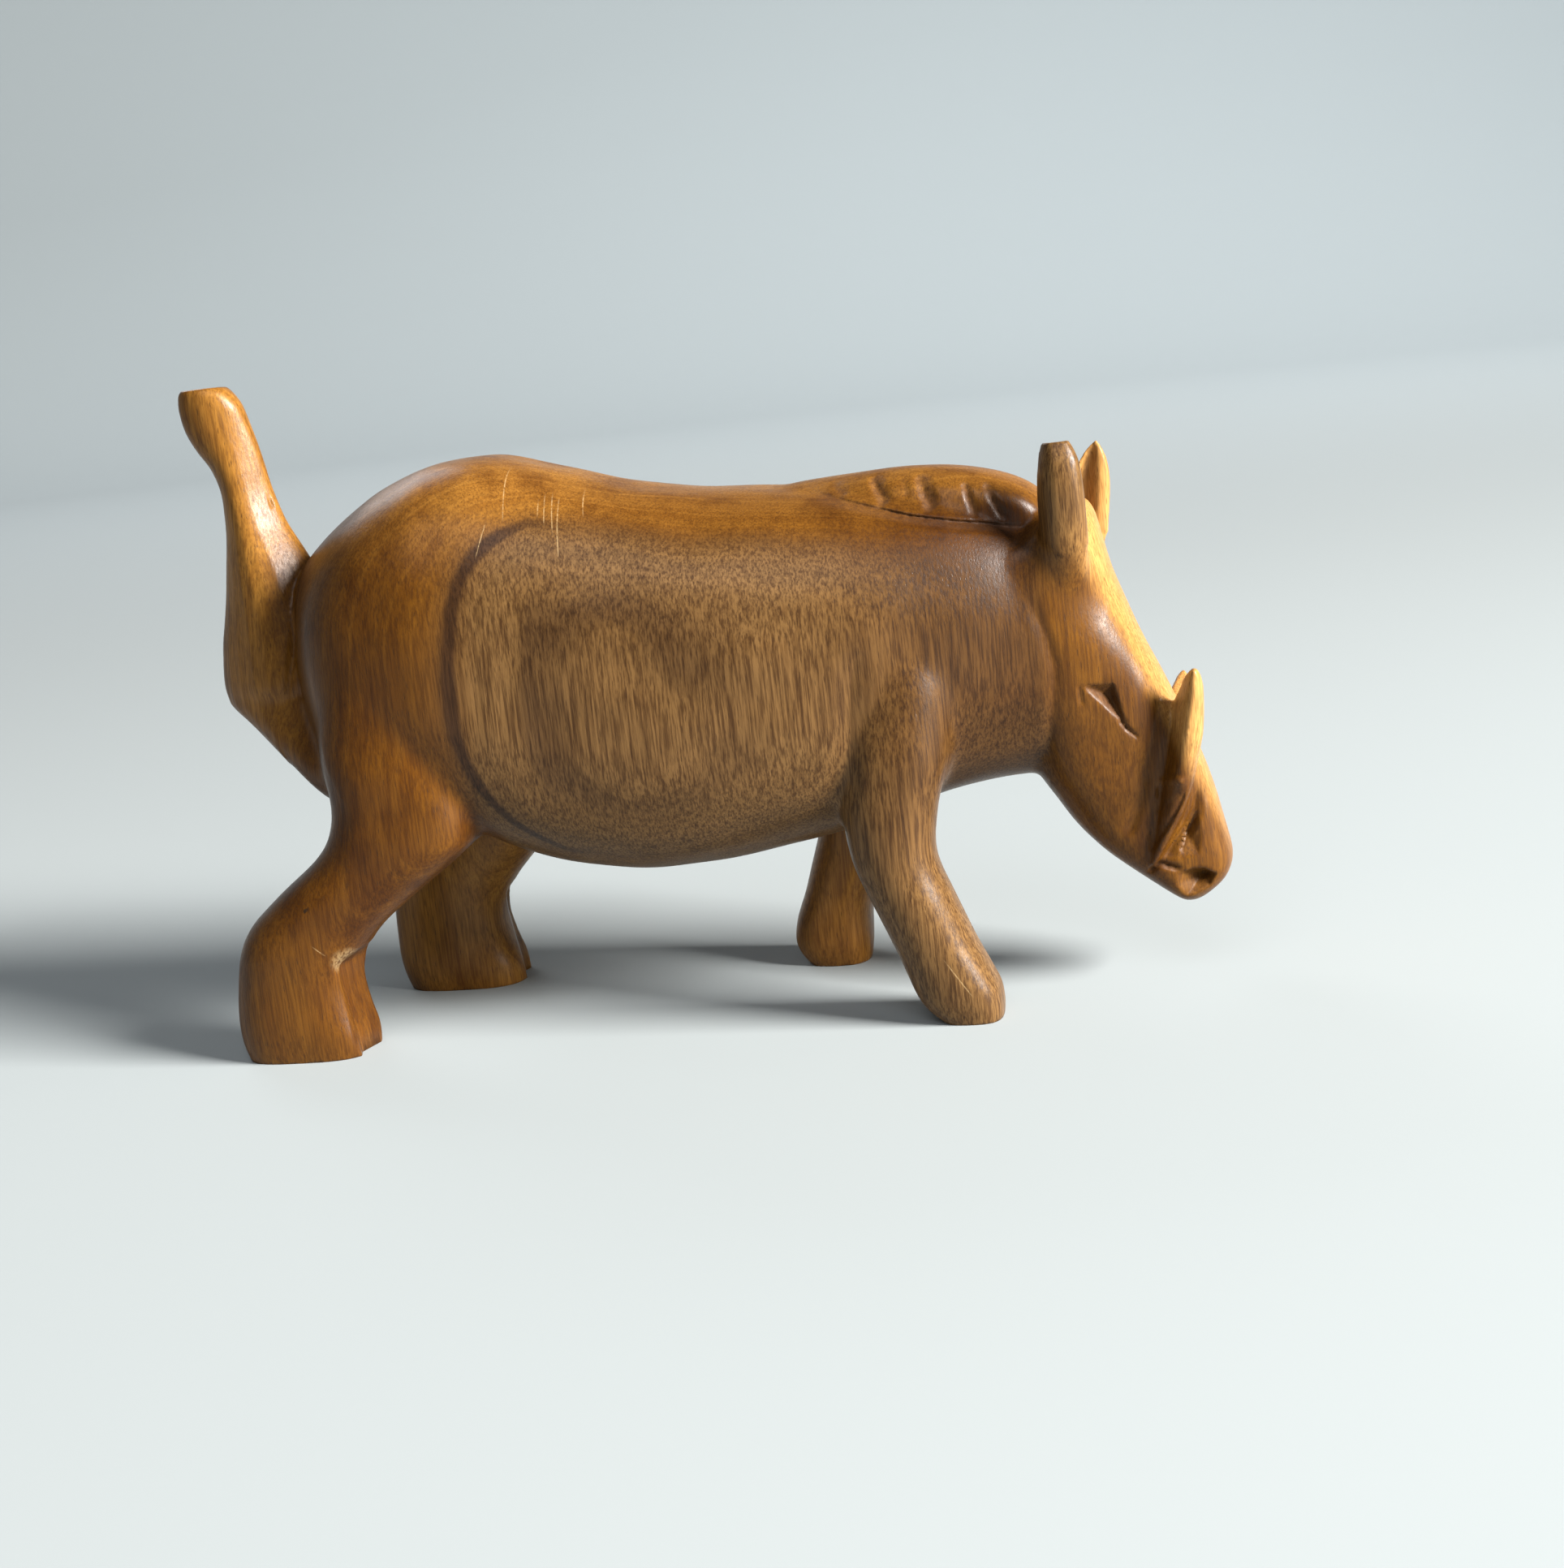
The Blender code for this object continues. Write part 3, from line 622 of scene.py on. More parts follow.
# The hoof is scooped at its front outer edge: x of the scoop's ridge by z, and which way the scoop faces
HOOF_NOTCH = (
    (16.5, -51.4), (14.0, -51.9), (11.0, -51.8), (7.0, -51.2), (3.6, -50.6), (0.0, -50.2),
)
HOOF_RIDGE_Y = 20.0
HOOF_TURN = math.radians(18)
HOOF_HOLLOW = 1.0
HOOF_SCOOP_TOP, HOOF_SCOOP_FULL = 16.5, 13.5  # z where the scoop starts and where it is full
HOOF_SCOOP_X = (-54.0, -44.0)
HOOF_SCOOP_INNER_Y = 8.0
HOOF_HOLLOW_REACH = (0.2, 2.2)  # from the ridge, where the hollow starts and where it is full
# How rough the hoof's scoop is and how much painted shade it gets, then where and at what depths that starts
# and is full
HOOF_MARK = 0.3
HOOF_MARK_Z = (10.0, 13.0)
HOOF_MARK_DEPTH = (0.05, 0.3)
# Places that are sanded again before the knife work: line, reach, how often
EASED = {
    "tail_foot": (((-55.0, 45.0), (-54.0, 40.0), (-51.0, 34.0)), 5.0, 120),
    "ear_foot": (((47.0, 59.0), (48.5, 54.0), (52.0, 53.5), (53.5, 58.0)), 4.0, 70),
    "tusk_root": (
        (
            (63.6, 42.2), (62.2, 39.5), (61.4, 36.5), (60.3, 33.2), (59.2, 29.6), (58.2, 25.5),
        ),
        1.3, 14,
    ),
    "tusk_front": (((67.2, 34.0), (65.9, 28.0), (64.2, 23.5), (61.5, 19.5)), 0.9, 6),
}
# Unevenness left by the hand and by the knife: height, shortest and longest wave, seed
HAND_WAVES = (0.07, 7.0, 18.0, 3)
KNIFE_WAVES = (0.035, 0.7, 1.6, 5)
WAVE_COUNT = 14
# Shape of the cuts: power of a crease's walls, how it fades at its ends as a share of its length, and
# how far the surface has to face the side before a crease or a pit is cut there
CREASE_POWER = 1.3
CREASE_FADE = (-0.04, 0.18)
CREASE_FACING = (0.05, 0.35)
PIT_FACING = (-0.1, 0.2)
# The depths below also set how far a cut is darkened by painted shade
MARKED_DEPTH = (0.05, 0.4)  # depths where a cut starts to show the knife and where it fully does
MIDDLE_BAND = 1.0  # work on one side stays this far from the figure's middle
FAR = 1e9


def polyline(points, places):
    """Distance of places in a plane from a line, which side of it they are on, and share along it."""
    points = np.array(points, float)
    best = np.full(len(places), FAR)
    side = np.zeros(len(places))
    share = np.zeros(len(places))
    lengths = np.linalg.norm(np.diff(points, axis=0), axis=1)
    total, passed = lengths.sum(), 0.0
    for start, end, length in zip(points, points[1:], lengths):
        along = (end - start) / length
        offset = places - start
        t = np.clip(offset @ along, 0.0, length)
        gap = np.linalg.norm(offset - t[:, None] * along, axis=1)
        nearer = gap < best
        best[nearer] = gap[nearer]
        across = along[0] * offset[:, 1] - along[1] * offset[:, 0]
        side[nearer] = np.sign(across[nearer])
        share[nearer] = ((passed + t) / total)[nearer]
        passed += length
    return best, side, share


def smooth(value, low, high):
    """Goes smoothly from 0 to 1 while value goes from low to high."""
    t = np.clip((value - low) / (high - low), 0.0, 1.0)
    return t * t * (3 - 2 * t)


def waves(places, shortest, longest, seed):
    """Smooth noise of about unit size, from plane waves in fixed random directions."""
    chance = np.random.default_rng(seed)
    total = np.zeros(len(places))
    for _ in range(WAVE_COUNT):
        direction = chance.normal(size=3)
        direction *= 2 * math.pi / chance.uniform(shortest, longest) / np.linalg.norm(direction)
        total += np.sin(places @ direction + chance.uniform(0, 2 * math.pi))
    return total / math.sqrt(WAVE_COUNT / 2)


class Carving:
    """The points of the figure's surface while the knife works on them."""

    def __init__(self, piece):
        self.piece = piece
        self.places, self.normals = points_of(piece)
        self.cut = np.zeros(len(self.places))

    def facing(self, side, reach):
        """How far the surface at each point faces this side, from 0 to 1."""
        return smooth(self.normals[:, 1] * side, *reach) * (self.places[:, 1] * side > MIDDLE_BAND)

    def sink(self, depth, side, mark):
        """Moves the surface in from its side, and marks it as cut where it moves."""
        self.places[:, 1] -= side * depth
        self.cut = np.maximum(self.cut, mark * smooth(np.abs(depth), *MARKED_DEPTH))

    def crease(self, line, left, right, depth, mark, side):
        """A groove along a line, which fades at both ends."""
        flat = self.places[:, [0, 2]]
        gap, hand, share = polyline(line, flat)
        width = np.where(hand > 0, left, right)
        fade = smooth(np.minimum(share, 1 - share), *CREASE_FADE)
        profile = np.clip(1 - gap / width, 0, 1) ** CREASE_POWER
        self.sink(depth * profile * fade * self.facing(side, CREASE_FACING), side, mark)

    def pit(self, corners, deepest, depth, steep, mark, side):
        """A pit with straight walls down to its deepest point, or to a flat floor if they are steeper."""
        flat = self.places[:, [0, 2]]
        corners = np.array(corners, float)
        level = np.full(len(flat), FAR)
        for start, end in zip(corners, np.roll(corners, -1, axis=0)):
            across = np.array([-(end - start)[1], (end - start)[0]]) / np.linalg.norm(end - start)
            reach = (np.array(deepest) - start) @ across
            level = np.minimum(level, (flat - start) @ across / reach)
        profile = np.clip(level * steep, 0, 1)
        self.sink(depth * profile * self.facing(side, PIT_FACING), side, mark)

    def scoop_hoof(self, side, step):
        """Takes the front outer corner off a hind hoof, a little hollow."""
        x, y, z = self.places.T
        levels, ridge = zip(*reversed(HOOF_NOTCH))
        across = np.array([math.cos(HOOF_TURN), side * math.sin(HOOF_TURN)])
        from_ridge = np.stack([x - step - np.interp(z, levels, ridge), y - side * HOOF_RIDGE_Y], axis=1)
        along = from_ridge @ np.array([-across[1], across[0]]) * -side
        over = from_ridge @ across + HOOF_HOLLOW * smooth(along, *HOOF_HOLLOW_REACH)
        rear_x, front_x = HOOF_SCOOP_X
        near = (x - step > rear_x) * (x - step < front_x) * (y * side > HOOF_SCOOP_INNER_Y)
        taken = np.clip(over, 0.0, None) * near * smooth(z, HOOF_SCOOP_TOP, HOOF_SCOOP_FULL)
        self.places[:, 0] -= taken * across[0]
        self.places[:, 1] -= taken * across[1]
        marked = smooth(z, *HOOF_MARK_Z) * smooth(taken, *HOOF_MARK_DEPTH)
        self.cut = np.maximum(self.cut, HOOF_MARK * marked)

    def ease(self, line, reach, rounds, side):
        """Sands the surface near a line."""
        near = polyline(line, self.places[:, [0, 2]])[0] < reach
        near &= self.places[:, 1] * side > MIDDLE_BAND
        edges = np.zeros(len(self.piece.data.edges) * 2, np.int64)
        self.piece.data.edges.foreach_get("vertices", edges)
        edges = edges.reshape(-1, 2)
        edges = edges[near[edges].any(axis=1)]
        ends = np.concatenate([edges[:, 0], edges[:, 1]])
        others = np.concatenate([edges[:, 1], edges[:, 0]])
        count = np.maximum(np.bincount(ends, minlength=len(near)), 1)
        for _ in range(rounds):
            for axis in range(3):
                mean = np.bincount(ends, self.places[others, axis], minlength=len(near)) / count
                self.places[near, axis] += SANDING_FACTOR * (mean - self.places[:, axis])[near]

    def roughen(self, share, height, shortest, longest, seed):
        """Moves the surface in and out by small waves."""
        self.places += self.normals * (share * height * waves(self.places, shortest, longest, seed))[:, None]

    def update(self):
        """Gives the moved points to the mesh, and reads their new normals."""
        set_points(self.piece, self.places)
        self.places, self.normals = points_of(self.piece)


def carve(piece):
    """Cuts the creases, the mane, eyes, nostrils and lips, and leaves the marks of the knife, which also say
    where painted shade goes.
    """
    work = Carving(piece)
    for line, reach, rounds in EASED.values():
        for side in (RIGHT, LEFT):
            work.ease(line, reach, rounds, side)
    work.update()
    work.roughen(1.0, *HAND_WAVES)
    for side in (RIGHT, LEFT):
        for line, left, right, depth, mark in CREASES.values():
            work.crease(line, left, right, depth, mark, side)
        for top, bottom, width, depth in MANE_SCOOPS:
            work.crease((top, bottom), width, width * SCOOP_RIGHT, depth, SCOOP_MARK, side)
        work.crease(MANE_LINE, *MANE_LINE_CUT, side)
        for corners, deepest, depth, steep, mark in PITS.values():
            work.pit(corners, deepest, depth, steep, mark, side)
        work.scoop_hoof(side, LEFT_HIND_STEP[-1][1] if side == LEFT else 0.0)
    work.update()
    work.roughen(work.cut, *KNIFE_WAVES)
    set_points(piece, work.places)
    marks = piece.data.attributes.new("cut", "FLOAT", "POINT")
    marks.data.foreach_set("value", work.cut.astype(np.float32))


def carved_figure():
    """The whole figure: masses grown together, fine parts joined on, and the knife work."""
    piece = bpy.data.objects.new("carved_warthog", bpy.data.meshes.new("carved_warthog"))
    bpy.context.scene.collection.objects.link(piece)
    add_skins(piece, [
        torso_rings(),
        leg_rings(HIND_LEG, RIGHT),
        leg_rings(stepped(HIND_LEG, LEFT_HIND_STEP), LEFT),
        leg_rings(RIGHT_FRONT_LEG, RIGHT),
        leg_rings(LEFT_FRONT_LEG, LEFT),
        head_rings(),
        mane_rings(),
    ])
    fuse(piece, BODY_VOXEL, BODY_SANDING)
    sand_flanks(piece)
    add_skins(piece, [
        cornered_rings(TAIL, rounds=2),
        tusk_rings(RIGHT, (0, 0)),
        tusk_rings(LEFT, LEFT_TUSK_SHIFT),
        ear_rings(RIGHT_EAR, RIGHT_EAR_SECTION, RIGHT),
        ear_rings(LEFT_EAR, LEFT_EAR_SECTION, LEFT),
    ])
    fuse(piece, FIGURE_VOXEL, FIGURE_SANDING)
    carve(piece)
    thin_out(piece, TRIANGLES)
    stand(piece)
    piece.data.shade_smooth()
    return piece


# Camera: its angles, in radians, and its distance, in metres, from the point that it looks at
CAMERA_AZIMUTH = math.radians(10.0)
CAMERA_ELEVATION = math.radians(11.746)
CAMERA_ROLL = math.radians(6.167)
CAMERA_DISTANCE = 0.328
CAMERA_TARGET = Vector((0.009119, 0.0, 0.029882))
CAMERA_LENS = 54.04
CAMERA_SENSOR = 36.0
CAMERA_CLIP = (0.01, 20.0)


def place_camera():
    a, e, r = CAMERA_AZIMUTH, CAMERA_ELEVATION, CAMERA_ROLL
    back = Vector((math.sin(a) * math.cos(e), -math.cos(a) * math.cos(e), math.sin(e)))
    right = Vector((math.cos(a), math.sin(a), 0.0))
    up = back.cross(right)
    level_right = right * math.cos(r) - up * math.sin(r)
    level_up = up * math.cos(r) + right * math.sin(r)
    data = bpy.data.cameras.new("camera")
    data.lens = CAMERA_LENS
    data.sensor_width = CAMERA_SENSOR
    data.clip_start, data.clip_end = CAMERA_CLIP
    camera = bpy.data.objects.new("camera", data)
    bpy.context.scene.collection.objects.link(camera)
    turn = Matrix((level_right, level_up, back)).transposed().to_4x4()
    camera.matrix_world = Matrix.Translation(CAMERA_TARGET + back * CAMERA_DISTANCE) @ turn
    bpy.context.scene.camera = camera


# Studio, in metres: a round floor, the curve at its edge and the wall above
FLOOR_RADIUS = 1.6
FLOOR_CURVE = 0.9
WALL_HEIGHT = 1.1
FLOOR_SIDES = 96
CURVE_STEPS = 12
SAME_POINT = 1e-5
FLOOR_COLOUR = (0.32, 0.352, 0.36, 1.0)
FLOOR_ROUGHNESS = 0.9
SKY_COLOUR, SKY_STRENGTH = (0.93, 0.96, 1.0, 1.0), 0.1
FIGURE_MIDDLE = (0.0, 0.0, 0.04)
WARM, COOL, NEUTRAL = (1.0, 0.97, 0.93), (0.95, 0.97, 1.0), (0.95, 0.98, 1.0)
# Lights: place, what they point at, size, watts, colour, spread
LIGHTS = {
    "window": ((1.66, -0.58, 0.9), FIGURE_MIDDLE, (0.8, 0.6), 62.0, WARM, math.radians(110)),
    "room": ((0.0, -0.85, 1.0), FIGURE_MIDDLE, (0.9, 0.6), 4.5, COOL, math.pi),
    "far_side": ((-1.0, 1.3, 1.1), FIGURE_MIDDLE, (0.8, 0.6), 7.0, COOL, math.pi),
    "backdrop": ((0.9, 0.9, 1.5), (-0.2, 2.1, 0.2), (0.8, 0.8), 18.0, NEUTRAL, math.radians(100)),
}


def area_light(name, place, aim, size, watts, colour, spread):
    data = bpy.data.lights.new(name, "AREA")
    data.spread = spread
    data.shape = "RECTANGLE"
    data.size, data.size_y = size
    data.energy = watts
    data.color = colour
    light = bpy.data.objects.new(name, data)
    light.location = place
    light.rotation_euler = (Vector(aim) - Vector(place)).to_track_quat("-Z", "Y").to_euler()
    bpy.context.scene.collection.objects.link(light)


def pale_floor():
    """A floor that curves up into a wall all round."""
    profile = [(0.0, 0.0), (FLOOR_RADIUS, 0.0)]
    for i in range(1, CURVE_STEPS + 1):
        angle = math.pi / 2 * i / CURVE_STEPS
        radius = FLOOR_RADIUS + FLOOR_CURVE * math.sin(angle)
        profile.append((radius, FLOOR_CURVE * (1 - math.cos(angle))))
    profile.append((FLOOR_RADIUS + FLOOR_CURVE, WALL_HEIGHT))
    bm = bmesh.new()
    layers = []
    for radius, level in profile:
        ring = []
        for i in range(FLOOR_SIDES):
            angle = 2 * math.pi * i / FLOOR_SIDES
            ring.append(bm.verts.new((radius * math.cos(angle), radius * math.sin(angle), level)))
        layers.append(ring)
    for lower, upper in zip(layers, layers[1:]):
        for i in range(FLOOR_SIDES):
            j = (i + 1) % FLOOR_SIDES
            bm.faces.new((lower[i], lower[j], upper[j], upper[i]))
    bmesh.ops.remove_doubles(bm, verts=bm.verts, dist=SAME_POINT)
    mesh = bpy.data.meshes.new("floor")
    bm.to_mesh(mesh)
    bm.free()
    mesh.shade_smooth()
    floor = bpy.data.objects.new("floor", mesh)
    bpy.context.scene.collection.objects.link(floor)
    paper = bpy.data.materials.new("pale_floor")
    paper.use_nodes = True
    shader = paper.node_tree.nodes["Principled BSDF"]
    shader.inputs["Base Color"].default_value = FLOOR_COLOUR
    shader.inputs["Roughness"].default_value = FLOOR_ROUGHNESS
    mesh.materials.append(paper)


def studio():
    """The floor, a faint sky and soft light."""
    pale_floor()
    world = bpy.data.worlds.new("studio")
    world.use_nodes = True
    background = world.node_tree.nodes["Background"]
    background.inputs["Color"].default_value = SKY_COLOUR
    background.inputs["Strength"].default_value = SKY_STRENGTH
    bpy.context.scene.world = world
    bpy.context.scene.view_settings.view_transform = "Standard"
    for name, values in LIGHTS.items():
        area_light(name, *values)


class Nodes:
    """Makes shader nodes and joins them."""

    def __init__(self, tree):
        self.tree = tree

    def add(self, kind, inputs=None, **settings):
        node = self.tree.nodes.new(kind)
        for name, value in settings.items():
            setattr(node, name, value)
        for name, value in (inputs or {}).items():
            self.feed(node.inputs[name], value)
        return node

    def feed(self, socket, value):
        if isinstance(value, bpy.types.NodeSocket):
            self.tree.links.new(value, socket)
        else:
            socket.default_value = value

    def math(self, operation, *values):
        node = self.add("ShaderNodeMath", operation=operation)
        for socket, value in zip(node.inputs, values):
            self.feed(socket, value)
        return node.outputs[0]

    def times(self, first, second):
        return self.math("MULTIPLY", first, second)

    def stretched(self, vector, scales):
        node = self.add("ShaderNodeVectorMath", {0: vector, 1: scales}, operation="MULTIPLY")
        return node.outputs[0]

    def step(self, value, low, high, start=0.0, end=1.0):
        """Goes smoothly from start to end while value goes from low to high."""
        node = self.add("ShaderNodeMapRange", interpolation_type="SMOOTHSTEP")
        names = ("Value", "From Min", "From Max", "To Min", "To Max")
        for name, part in zip(names, (value, low, high, start, end)):
            self.feed(node.inputs[name], part)
        return node.outputs[0]

    def noise(self, vector, scale, detail=2.0, rough=0.5):
        inputs = {"Vector": vector, "Scale": scale, "Detail": detail, "Roughness": rough}
        return self.add("ShaderNodeTexNoise", inputs).outputs[0]

    def mix(self, share, first, second, blend="MIX"):
        node = self.add("ShaderNodeMix", data_type="RGBA", blend_type=blend)
        self.feed(node.inputs[0], share)
        self.feed(node.inputs[6], first)
        self.feed(node.inputs[7], second)
        return node.outputs[2]

    def tinted(self, share, colour, tint):
        return self.mix(share, colour, tint, "MULTIPLY")


# Wear of the wood, in millimetres of the figure as it stands: x, z of each scratch's ends
SCRATCHES = (
    ((-21.3, 70.9), (-21.9, 77.7)),
    ((-17.1, 73.6), (-16.9, 70.9)),
    ((-16.4, 74.1), (-15.9, 69.6)),
    ((-15.5, 74.2), (-14.7, 68.5)),
    ((-14.5, 73.5), (-13.9, 65.6)),
    ((-11.7, 74.0), (-10.9, 70.3)),
    ((-24.9, 66.7), (-23.4, 71.6)),
    ((31.5, 9.7), (35.2, 3.8)),
    ((-54.1, 16.9), (-52.0, 14.8)),
)
TORN_FIBRES = (-50.8, -19.4, 14.2)
SCRATCH_WIDTH = (0.11, 0.03)  # half widths where a scratch starts and where it is full
SCRATCH_FADE = 1.5
SCRATCH_SIDE = (-1.0, -3.0)
TORN_REACH = (2.6, 1.2)
# Edge of the heartwood, in millimetres of y: its level on the flank, and where it starts to turn away
# behind, in front and below, with how steeply
HEART_LEVEL = -15.6
HEART_BACK_X, HEART_BACK_SLOPE = -18.0, 0.45
HEART_FRONT_X, HEART_FRONT_SLOPE = 25.0, 0.2
HEART_LOW_Z, HEART_LOW_SLOPE = 42.0, 0.6
LAYER_BEND = 3.0
# Where each zone of the wood, and of the painted shade on the right side, starts and where it is full
HEART_FADE = (2.2, -2.4)
HEART_LOW_X = (-34.0, -22.0)
HEAD_X, HEAD_Z = (45.5, 49.0), (67.0, 54.0)
RIGHT_SIDE_Y = (2.0, -8.0)
SIDE_TOP, SIDE_FOOT = (78.0, 64.0), (-14.0, 5.0)
OFF_TAIL_X, OFF_TAIL_Z = (-60.0, -54.0), (48.0, 38.0)
# The face, made paler with painted light, is in front of a leaning line: x on the ground where the line's
# zones start and are full
FACE_SLOPE = 0.42
BEHIND_FACE, IN_FACE = (79.5, 76.5), (76.5, 80.0)
FACE_X = (46.0, 52.0)
FACE_LIGHT_STRENGTH = 0.55
# Painted shade on the neck and the shoulder: where it starts and where it is full
NECK_BACK, NECK_FRONT = (12.0, 36.0), (50.0, 45.0)
NECK_FOOT, NECK_TOP = (10.0, 40.0), (70.0, 65.0)
# Dark lines along a layer: its two sides, then x or z where it starts and is full, and its strengths
EDGE_LINE = ((-0.9, -0.4), (0.6, 0.0))
EDGE_LINE_X = (-10.0, -24.0, 0.12, 0.9)
INNER_LINE = ((-5.6, -5.0), (-3.9, -4.6))
INNER_LINE_X = (14.0, -2.0, 0.0, 0.5)
INNER_LINE_Z = (24.0, 42.0)
# Stretch of the noises along the wood, for places in millimetres
SLOW = (1.0, 1.0, 0.3)
SMOKE = (1.0, 1.0, 0.35)
FIBRE = (3.8, 3.8, 0.13)
STREAK = (1.8, 1.8, 0.07)
PORE = (3.2, 3.2, 0.38)
GRAIN = (1.0, 1.0, 0.5)
BROKEN = (1.0, 1.0, 0.4)
# Colours of the wood, with painted light on the face and painted shade in the cuts
SAP_DARK, SAP_PALE = (0.16, 0.058, 0.006, 1.0), (0.35, 0.165, 0.03, 1.0)
HEART_DARK, HEART_PALE = (0.1, 0.05, 0.015, 1.0), (0.2, 0.106, 0.036, 1.0)
FACE_LIGHT_COLOUR = (0.6, 0.33, 0.11, 1.0)
RING_COLOUR = (0.035, 0.015, 0.006, 1.0)
PORE_COLOUR = (0.03, 0.013, 0.004, 1.0)
WORN_COLOUR = (0.5, 0.34, 0.16, 1.0)
CUT_SHADE_COLOUR = (0.06, 0.024, 0.007, 1.0)
# Colours that the wood is multiplied by; the side and neck tints are painted shade
SMOKE_TINT = (0.5, 0.42, 0.34, 1.0)
SIDE_SHADE_TINT = (0.46, 0.39, 0.22, 1.0)
NECK_SHADE_TINT = (0.5, 0.43, 0.34, 1.0)
FIBRE_TINT = (0.26, 0.19, 0.12, 1.0)
STREAK_TINT = (0.4, 0.32, 0.24, 1.0)
SHINE = 0.22
CUT_ROUGHNESS = 0.35
BUMP_STRENGTH, BUMP_DISTANCE = 0.3, 0.00008


def heartwood(nodes, mm, x, y, z):
    """Place of each point in the upright layers of the wood, and how far it is heartwood."""
    slow = nodes.noise(nodes.stretched(mm, SLOW), 0.05, 1.0)
    bend = nodes.times(nodes.math("SUBTRACT", slow, 0.5), LAYER_BEND)
    behind = nodes.math("MAXIMUM", nodes.math("SUBTRACT", HEART_BACK_X, x), 0.0)
    before = nodes.math("MAXIMUM", nodes.math("SUBTRACT", x, HEART_FRONT_X), 0.0)
    below = nodes.math("MAXIMUM", nodes.math("SUBTRACT", HEART_LOW_Z, z), 0.0)
    below = nodes.times(below, nodes.step(x, *HEART_LOW_X))
    rise, fall = nodes.times(before, HEART_FRONT_SLOPE), nodes.times(behind, HEART_BACK_SLOPE)
    edge = nodes.math("ADD", nodes.math("SUBTRACT", rise, fall), HEART_LEVEL)
    layer = nodes.math("ADD", nodes.math("SUBTRACT", y, edge), bend)
    inside = nodes.math("SUBTRACT", layer, nodes.times(below, HEART_LOW_SLOPE))
    head = nodes.times(nodes.step(x, *HEAD_X), nodes.step(z, *HEAD_Z))
    heart = nodes.times(nodes.step(inside, *HEART_FADE), nodes.math("SUBTRACT", 1.0, head))
    return layer, heart


def wood_zones(nodes, mm, x, y, z):
    """Colour of the heartwood and the sapwood before their grain, and how far it is heartwood. The colour
    holds painted shade on the right side, the neck and the shoulder, and painted light on the face.
    """
    layer, heart = heartwood(nodes, mm, x, y, z)
    ring = nodes.noise(nodes.add("ShaderNodeCombineXYZ", {0: layer}).outputs[0], 0.8, 4.0, 0.75)
    patch = nodes.noise(nodes.stretched(mm, SLOW), 0.03, 1.0)
    patch = nodes.step(patch, 0.35, 0.65, 0.0, 0.25)
    ring = nodes.math("ADD", nodes.times(nodes.step(ring, 0.2, 0.8), 0.75), patch)
    sap = nodes.mix(ring, SAP_DARK, SAP_PALE)
    core = nodes.mix(ring, HEART_DARK, HEART_PALE)
    smoke = nodes.noise(nodes.stretched(mm, SMOKE), 0.16, 3.0, 0.6)
    sap = nodes.tinted(nodes.step(smoke, 0.42, 0.68, 0.0, 0.75), sap, SMOKE_TINT)

    # Painted shade makes the sapwood darker on the right side, but not on the tail or the face
    from_face = nodes.math("ADD", nodes.times(z, FACE_SLOPE), x)
    off_tail = nodes.math("MAXIMUM", nodes.step(x, *OFF_TAIL_X), nodes.step(z, *OFF_TAIL_Z))
    shaded_sides = nodes.times(nodes.step(z, *SIDE_TOP), nodes.step(z, *SIDE_FOOT))
    shaded_sides = nodes.times(nodes.times(shaded_sides, off_tail), nodes.step(from_face, *BEHIND_FACE))
    sap = nodes.tinted(nodes.times(shaded_sides, nodes.step(y, *RIGHT_SIDE_Y)), sap, SIDE_SHADE_TINT)
    # Painted light makes the face paler, as if lit more
    face = nodes.times(nodes.step(from_face, *IN_FACE), nodes.step(x, *FACE_X))
    sap = nodes.mix(nodes.times(face, FACE_LIGHT_STRENGTH), sap, FACE_LIGHT_COLOUR)
    colour = nodes.mix(heart, sap, core)

    # Painted shade makes the neck and the shoulder darker
    neck = nodes.times(nodes.step(x, *NECK_BACK), nodes.step(z, *NECK_FOOT))
    neck = nodes.times(neck, nodes.times(nodes.step(x, *NECK_FRONT), nodes.step(z, *NECK_TOP)))
    colour = nodes.tinted(neck, colour, NECK_SHADE_TINT)

    # Dark lines where the heartwood ends, strongest behind, and round its middle
    line = nodes.times(nodes.step(layer, *EDGE_LINE[0]), nodes.step(layer, *EDGE_LINE[1]))
    line = nodes.times(line, nodes.step(x, *EDGE_LINE_X))
    inner = nodes.times(nodes.step(layer, *INNER_LINE[0]), nodes.step(layer, *INNER_LINE[1]))
    inner = nodes.times(inner, nodes.step(x, *INNER_LINE_X))
    inner = nodes.times(inner, nodes.step(z, *INNER_LINE_Z))
    return nodes.mix(nodes.math("MAXIMUM", line, inner), colour, RING_COLOUR), heart


def scratches(nodes, x, y, z):
    """Light scratches on the right side."""
    worn = 0.0
    for start, end in SCRATCHES:
        length = math.dist(start, end)
        across = ((end[1] - start[1]) / length, (start[0] - end[0]) / length)
        from_x, from_z = nodes.math("SUBTRACT", x, start[0]), nodes.math("SUBTRACT", z, start[1])
        gap = nodes.math("ADD", nodes.times(from_x, across[0]), nodes.times(from_z, across[1]))
        along = nodes.math("ADD", nodes.times(from_x, -across[1]), nodes.times(from_z, across[0]))
        from_middle = nodes.math("ABSOLUTE", nodes.math("SUBTRACT", along, length / 2))
        inside = nodes.step(from_middle, length / 2, length / 2 - SCRATCH_FADE)
        mark = nodes.times(nodes.step(nodes.math("ABSOLUTE", gap), *SCRATCH_WIDTH), inside)
        worn = nodes.math("MAXIMUM", worn, mark)
    return nodes.times(worn, nodes.step(y, *SCRATCH_SIDE))


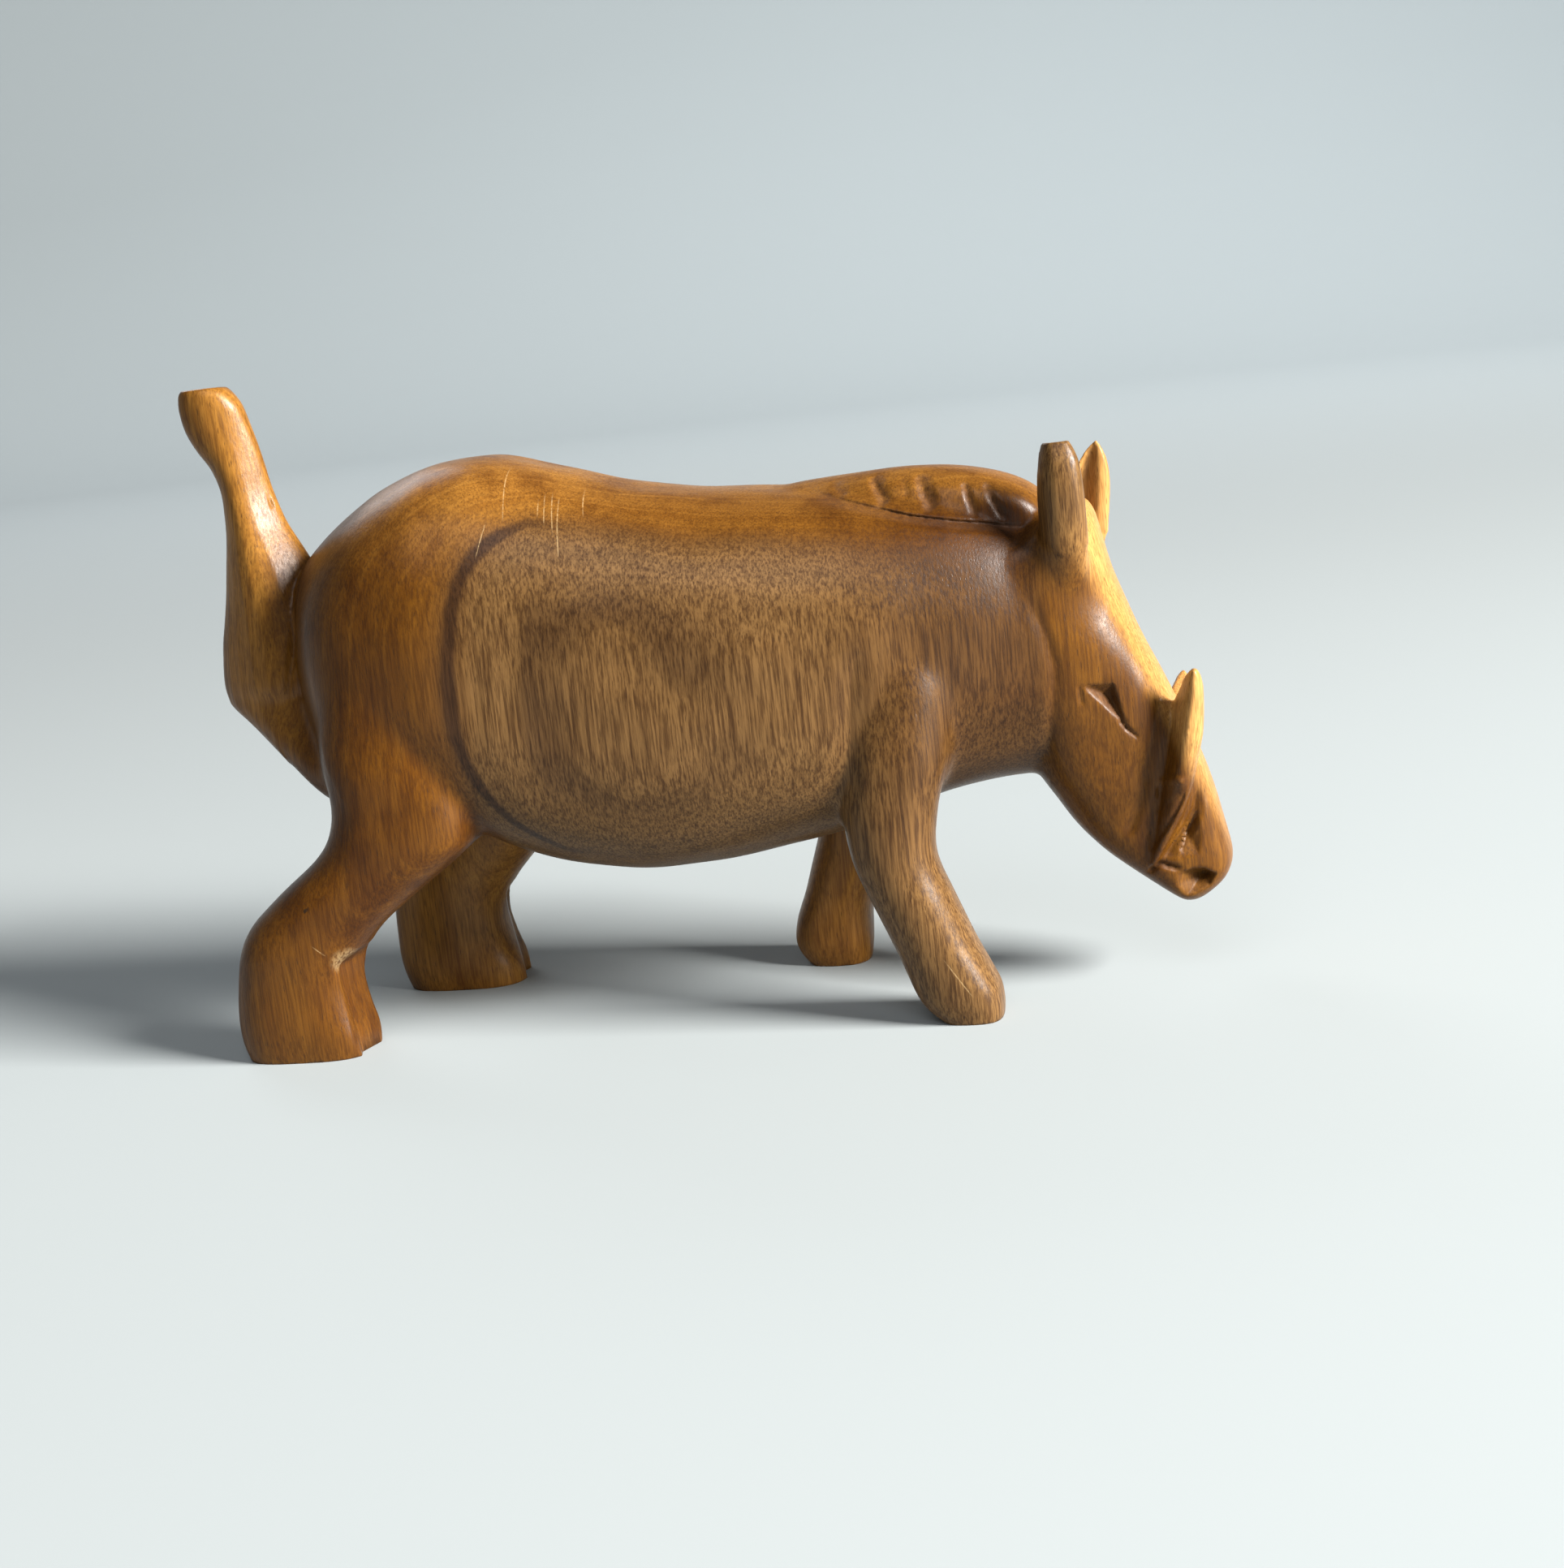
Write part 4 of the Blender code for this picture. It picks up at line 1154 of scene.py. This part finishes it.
def oiled_wood():
    """Wood whose fibres and pores run upwards, with wear, and rougher and darkened by painted shade where it
    is cut.
    """
    material = bpy.data.materials.new("oiled_wood")
    material.use_nodes = True
    tree = material.node_tree
    nodes = Nodes(tree)
    shader = tree.nodes["Principled BSDF"]
    place = nodes.add("ShaderNodeTexCoord").outputs["Object"]
    mm = nodes.stretched(place, (1 / TO_METRES,) * 3)
    x, y, z = nodes.add("ShaderNodeSeparateXYZ", {0: mm}).outputs
    colour, heart = wood_zones(nodes, mm, x, y, z)

    fibre = nodes.noise(nodes.stretched(mm, FIBRE), 1.0, 3.0, 0.7)
    strength = nodes.step(heart, 0.0, 1.0, 0.5, 0.8)
    colour = nodes.tinted(nodes.times(nodes.step(fibre, 0.4, 0.64), strength), colour, FIBRE_TINT)
    streak = nodes.noise(nodes.stretched(mm, STREAK), 1.0, 2.0, 0.6)
    streak = nodes.times(nodes.step(streak, 0.45, 0.65, 0.0, 0.6), strength)
    colour = nodes.tinted(streak, colour, STREAK_TINT)
    cells = nodes.add(
        "ShaderNodeTexVoronoi",
        {"Vector": nodes.stretched(mm, PORE), "Scale": 1.0, "Randomness": 1.0},
    )
    chosen = nodes.add("ShaderNodeSeparateColor", {0: cells.outputs["Color"]}).outputs[0]
    pore = nodes.times(nodes.step(cells.outputs["Distance"], 0.26, 0.13), nodes.step(chosen, 0.3, 0.8))
    colour = nodes.mix(nodes.times(pore, 0.7), colour, PORE_COLOUR)

    torn = nodes.add("ShaderNodeVectorMath", {0: mm, 1: TORN_FIBRES}, operation="DISTANCE")
    torn = nodes.step(torn.outputs["Value"], *TORN_REACH)
    worn = nodes.math("MAXIMUM", scratches(nodes, x, y, z), torn)
    broken = nodes.noise(nodes.stretched(mm, BROKEN), 2.5, 2.0, 0.6)
    worn = nodes.times(worn, nodes.step(broken, 0.35, 0.6, 0.05, 0.45))
    colour = nodes.mix(worn, colour, WORN_COLOUR)

    # Painted shade: the knife cuts are darkened in patches, more where they are cut deeper
    cut = nodes.add("ShaderNodeAttribute", attribute_name="cut").outputs["Fac"]
    cut_shade_patches = nodes.step(nodes.noise(mm, 2.2, 3.0, 0.7), 0.35, 0.65, 0.1, 0.55)
    colour = nodes.mix(nodes.times(cut, cut_shade_patches), colour, CUT_SHADE_COLOUR)
    nodes.feed(shader.inputs["Base Color"], colour)
    rough = nodes.math("ADD", nodes.step(fibre, 0.3, 0.75, 0.3, 0.43), nodes.times(cut, CUT_ROUGHNESS))
    nodes.feed(shader.inputs["Roughness"], rough)
    shader.inputs["Specular IOR Level"].default_value = SHINE
    grain = nodes.noise(nodes.stretched(mm, GRAIN), 3.0, 2.0, 0.6)
    height = nodes.math("SUBTRACT", nodes.times(fibre, 0.5), nodes.times(pore, 0.35))
    height = nodes.math("ADD", height, grain)
    bump = {"Strength": BUMP_STRENGTH, "Distance": BUMP_DISTANCE, "Height": height}
    nodes.feed(shader.inputs["Normal"], nodes.add("ShaderNodeBump", bump).outputs[0])
    return material


figure = carved_figure()
figure.data.materials.append(oiled_wood())
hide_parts("warthog")
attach(figure, "root")
studio()
place_camera()
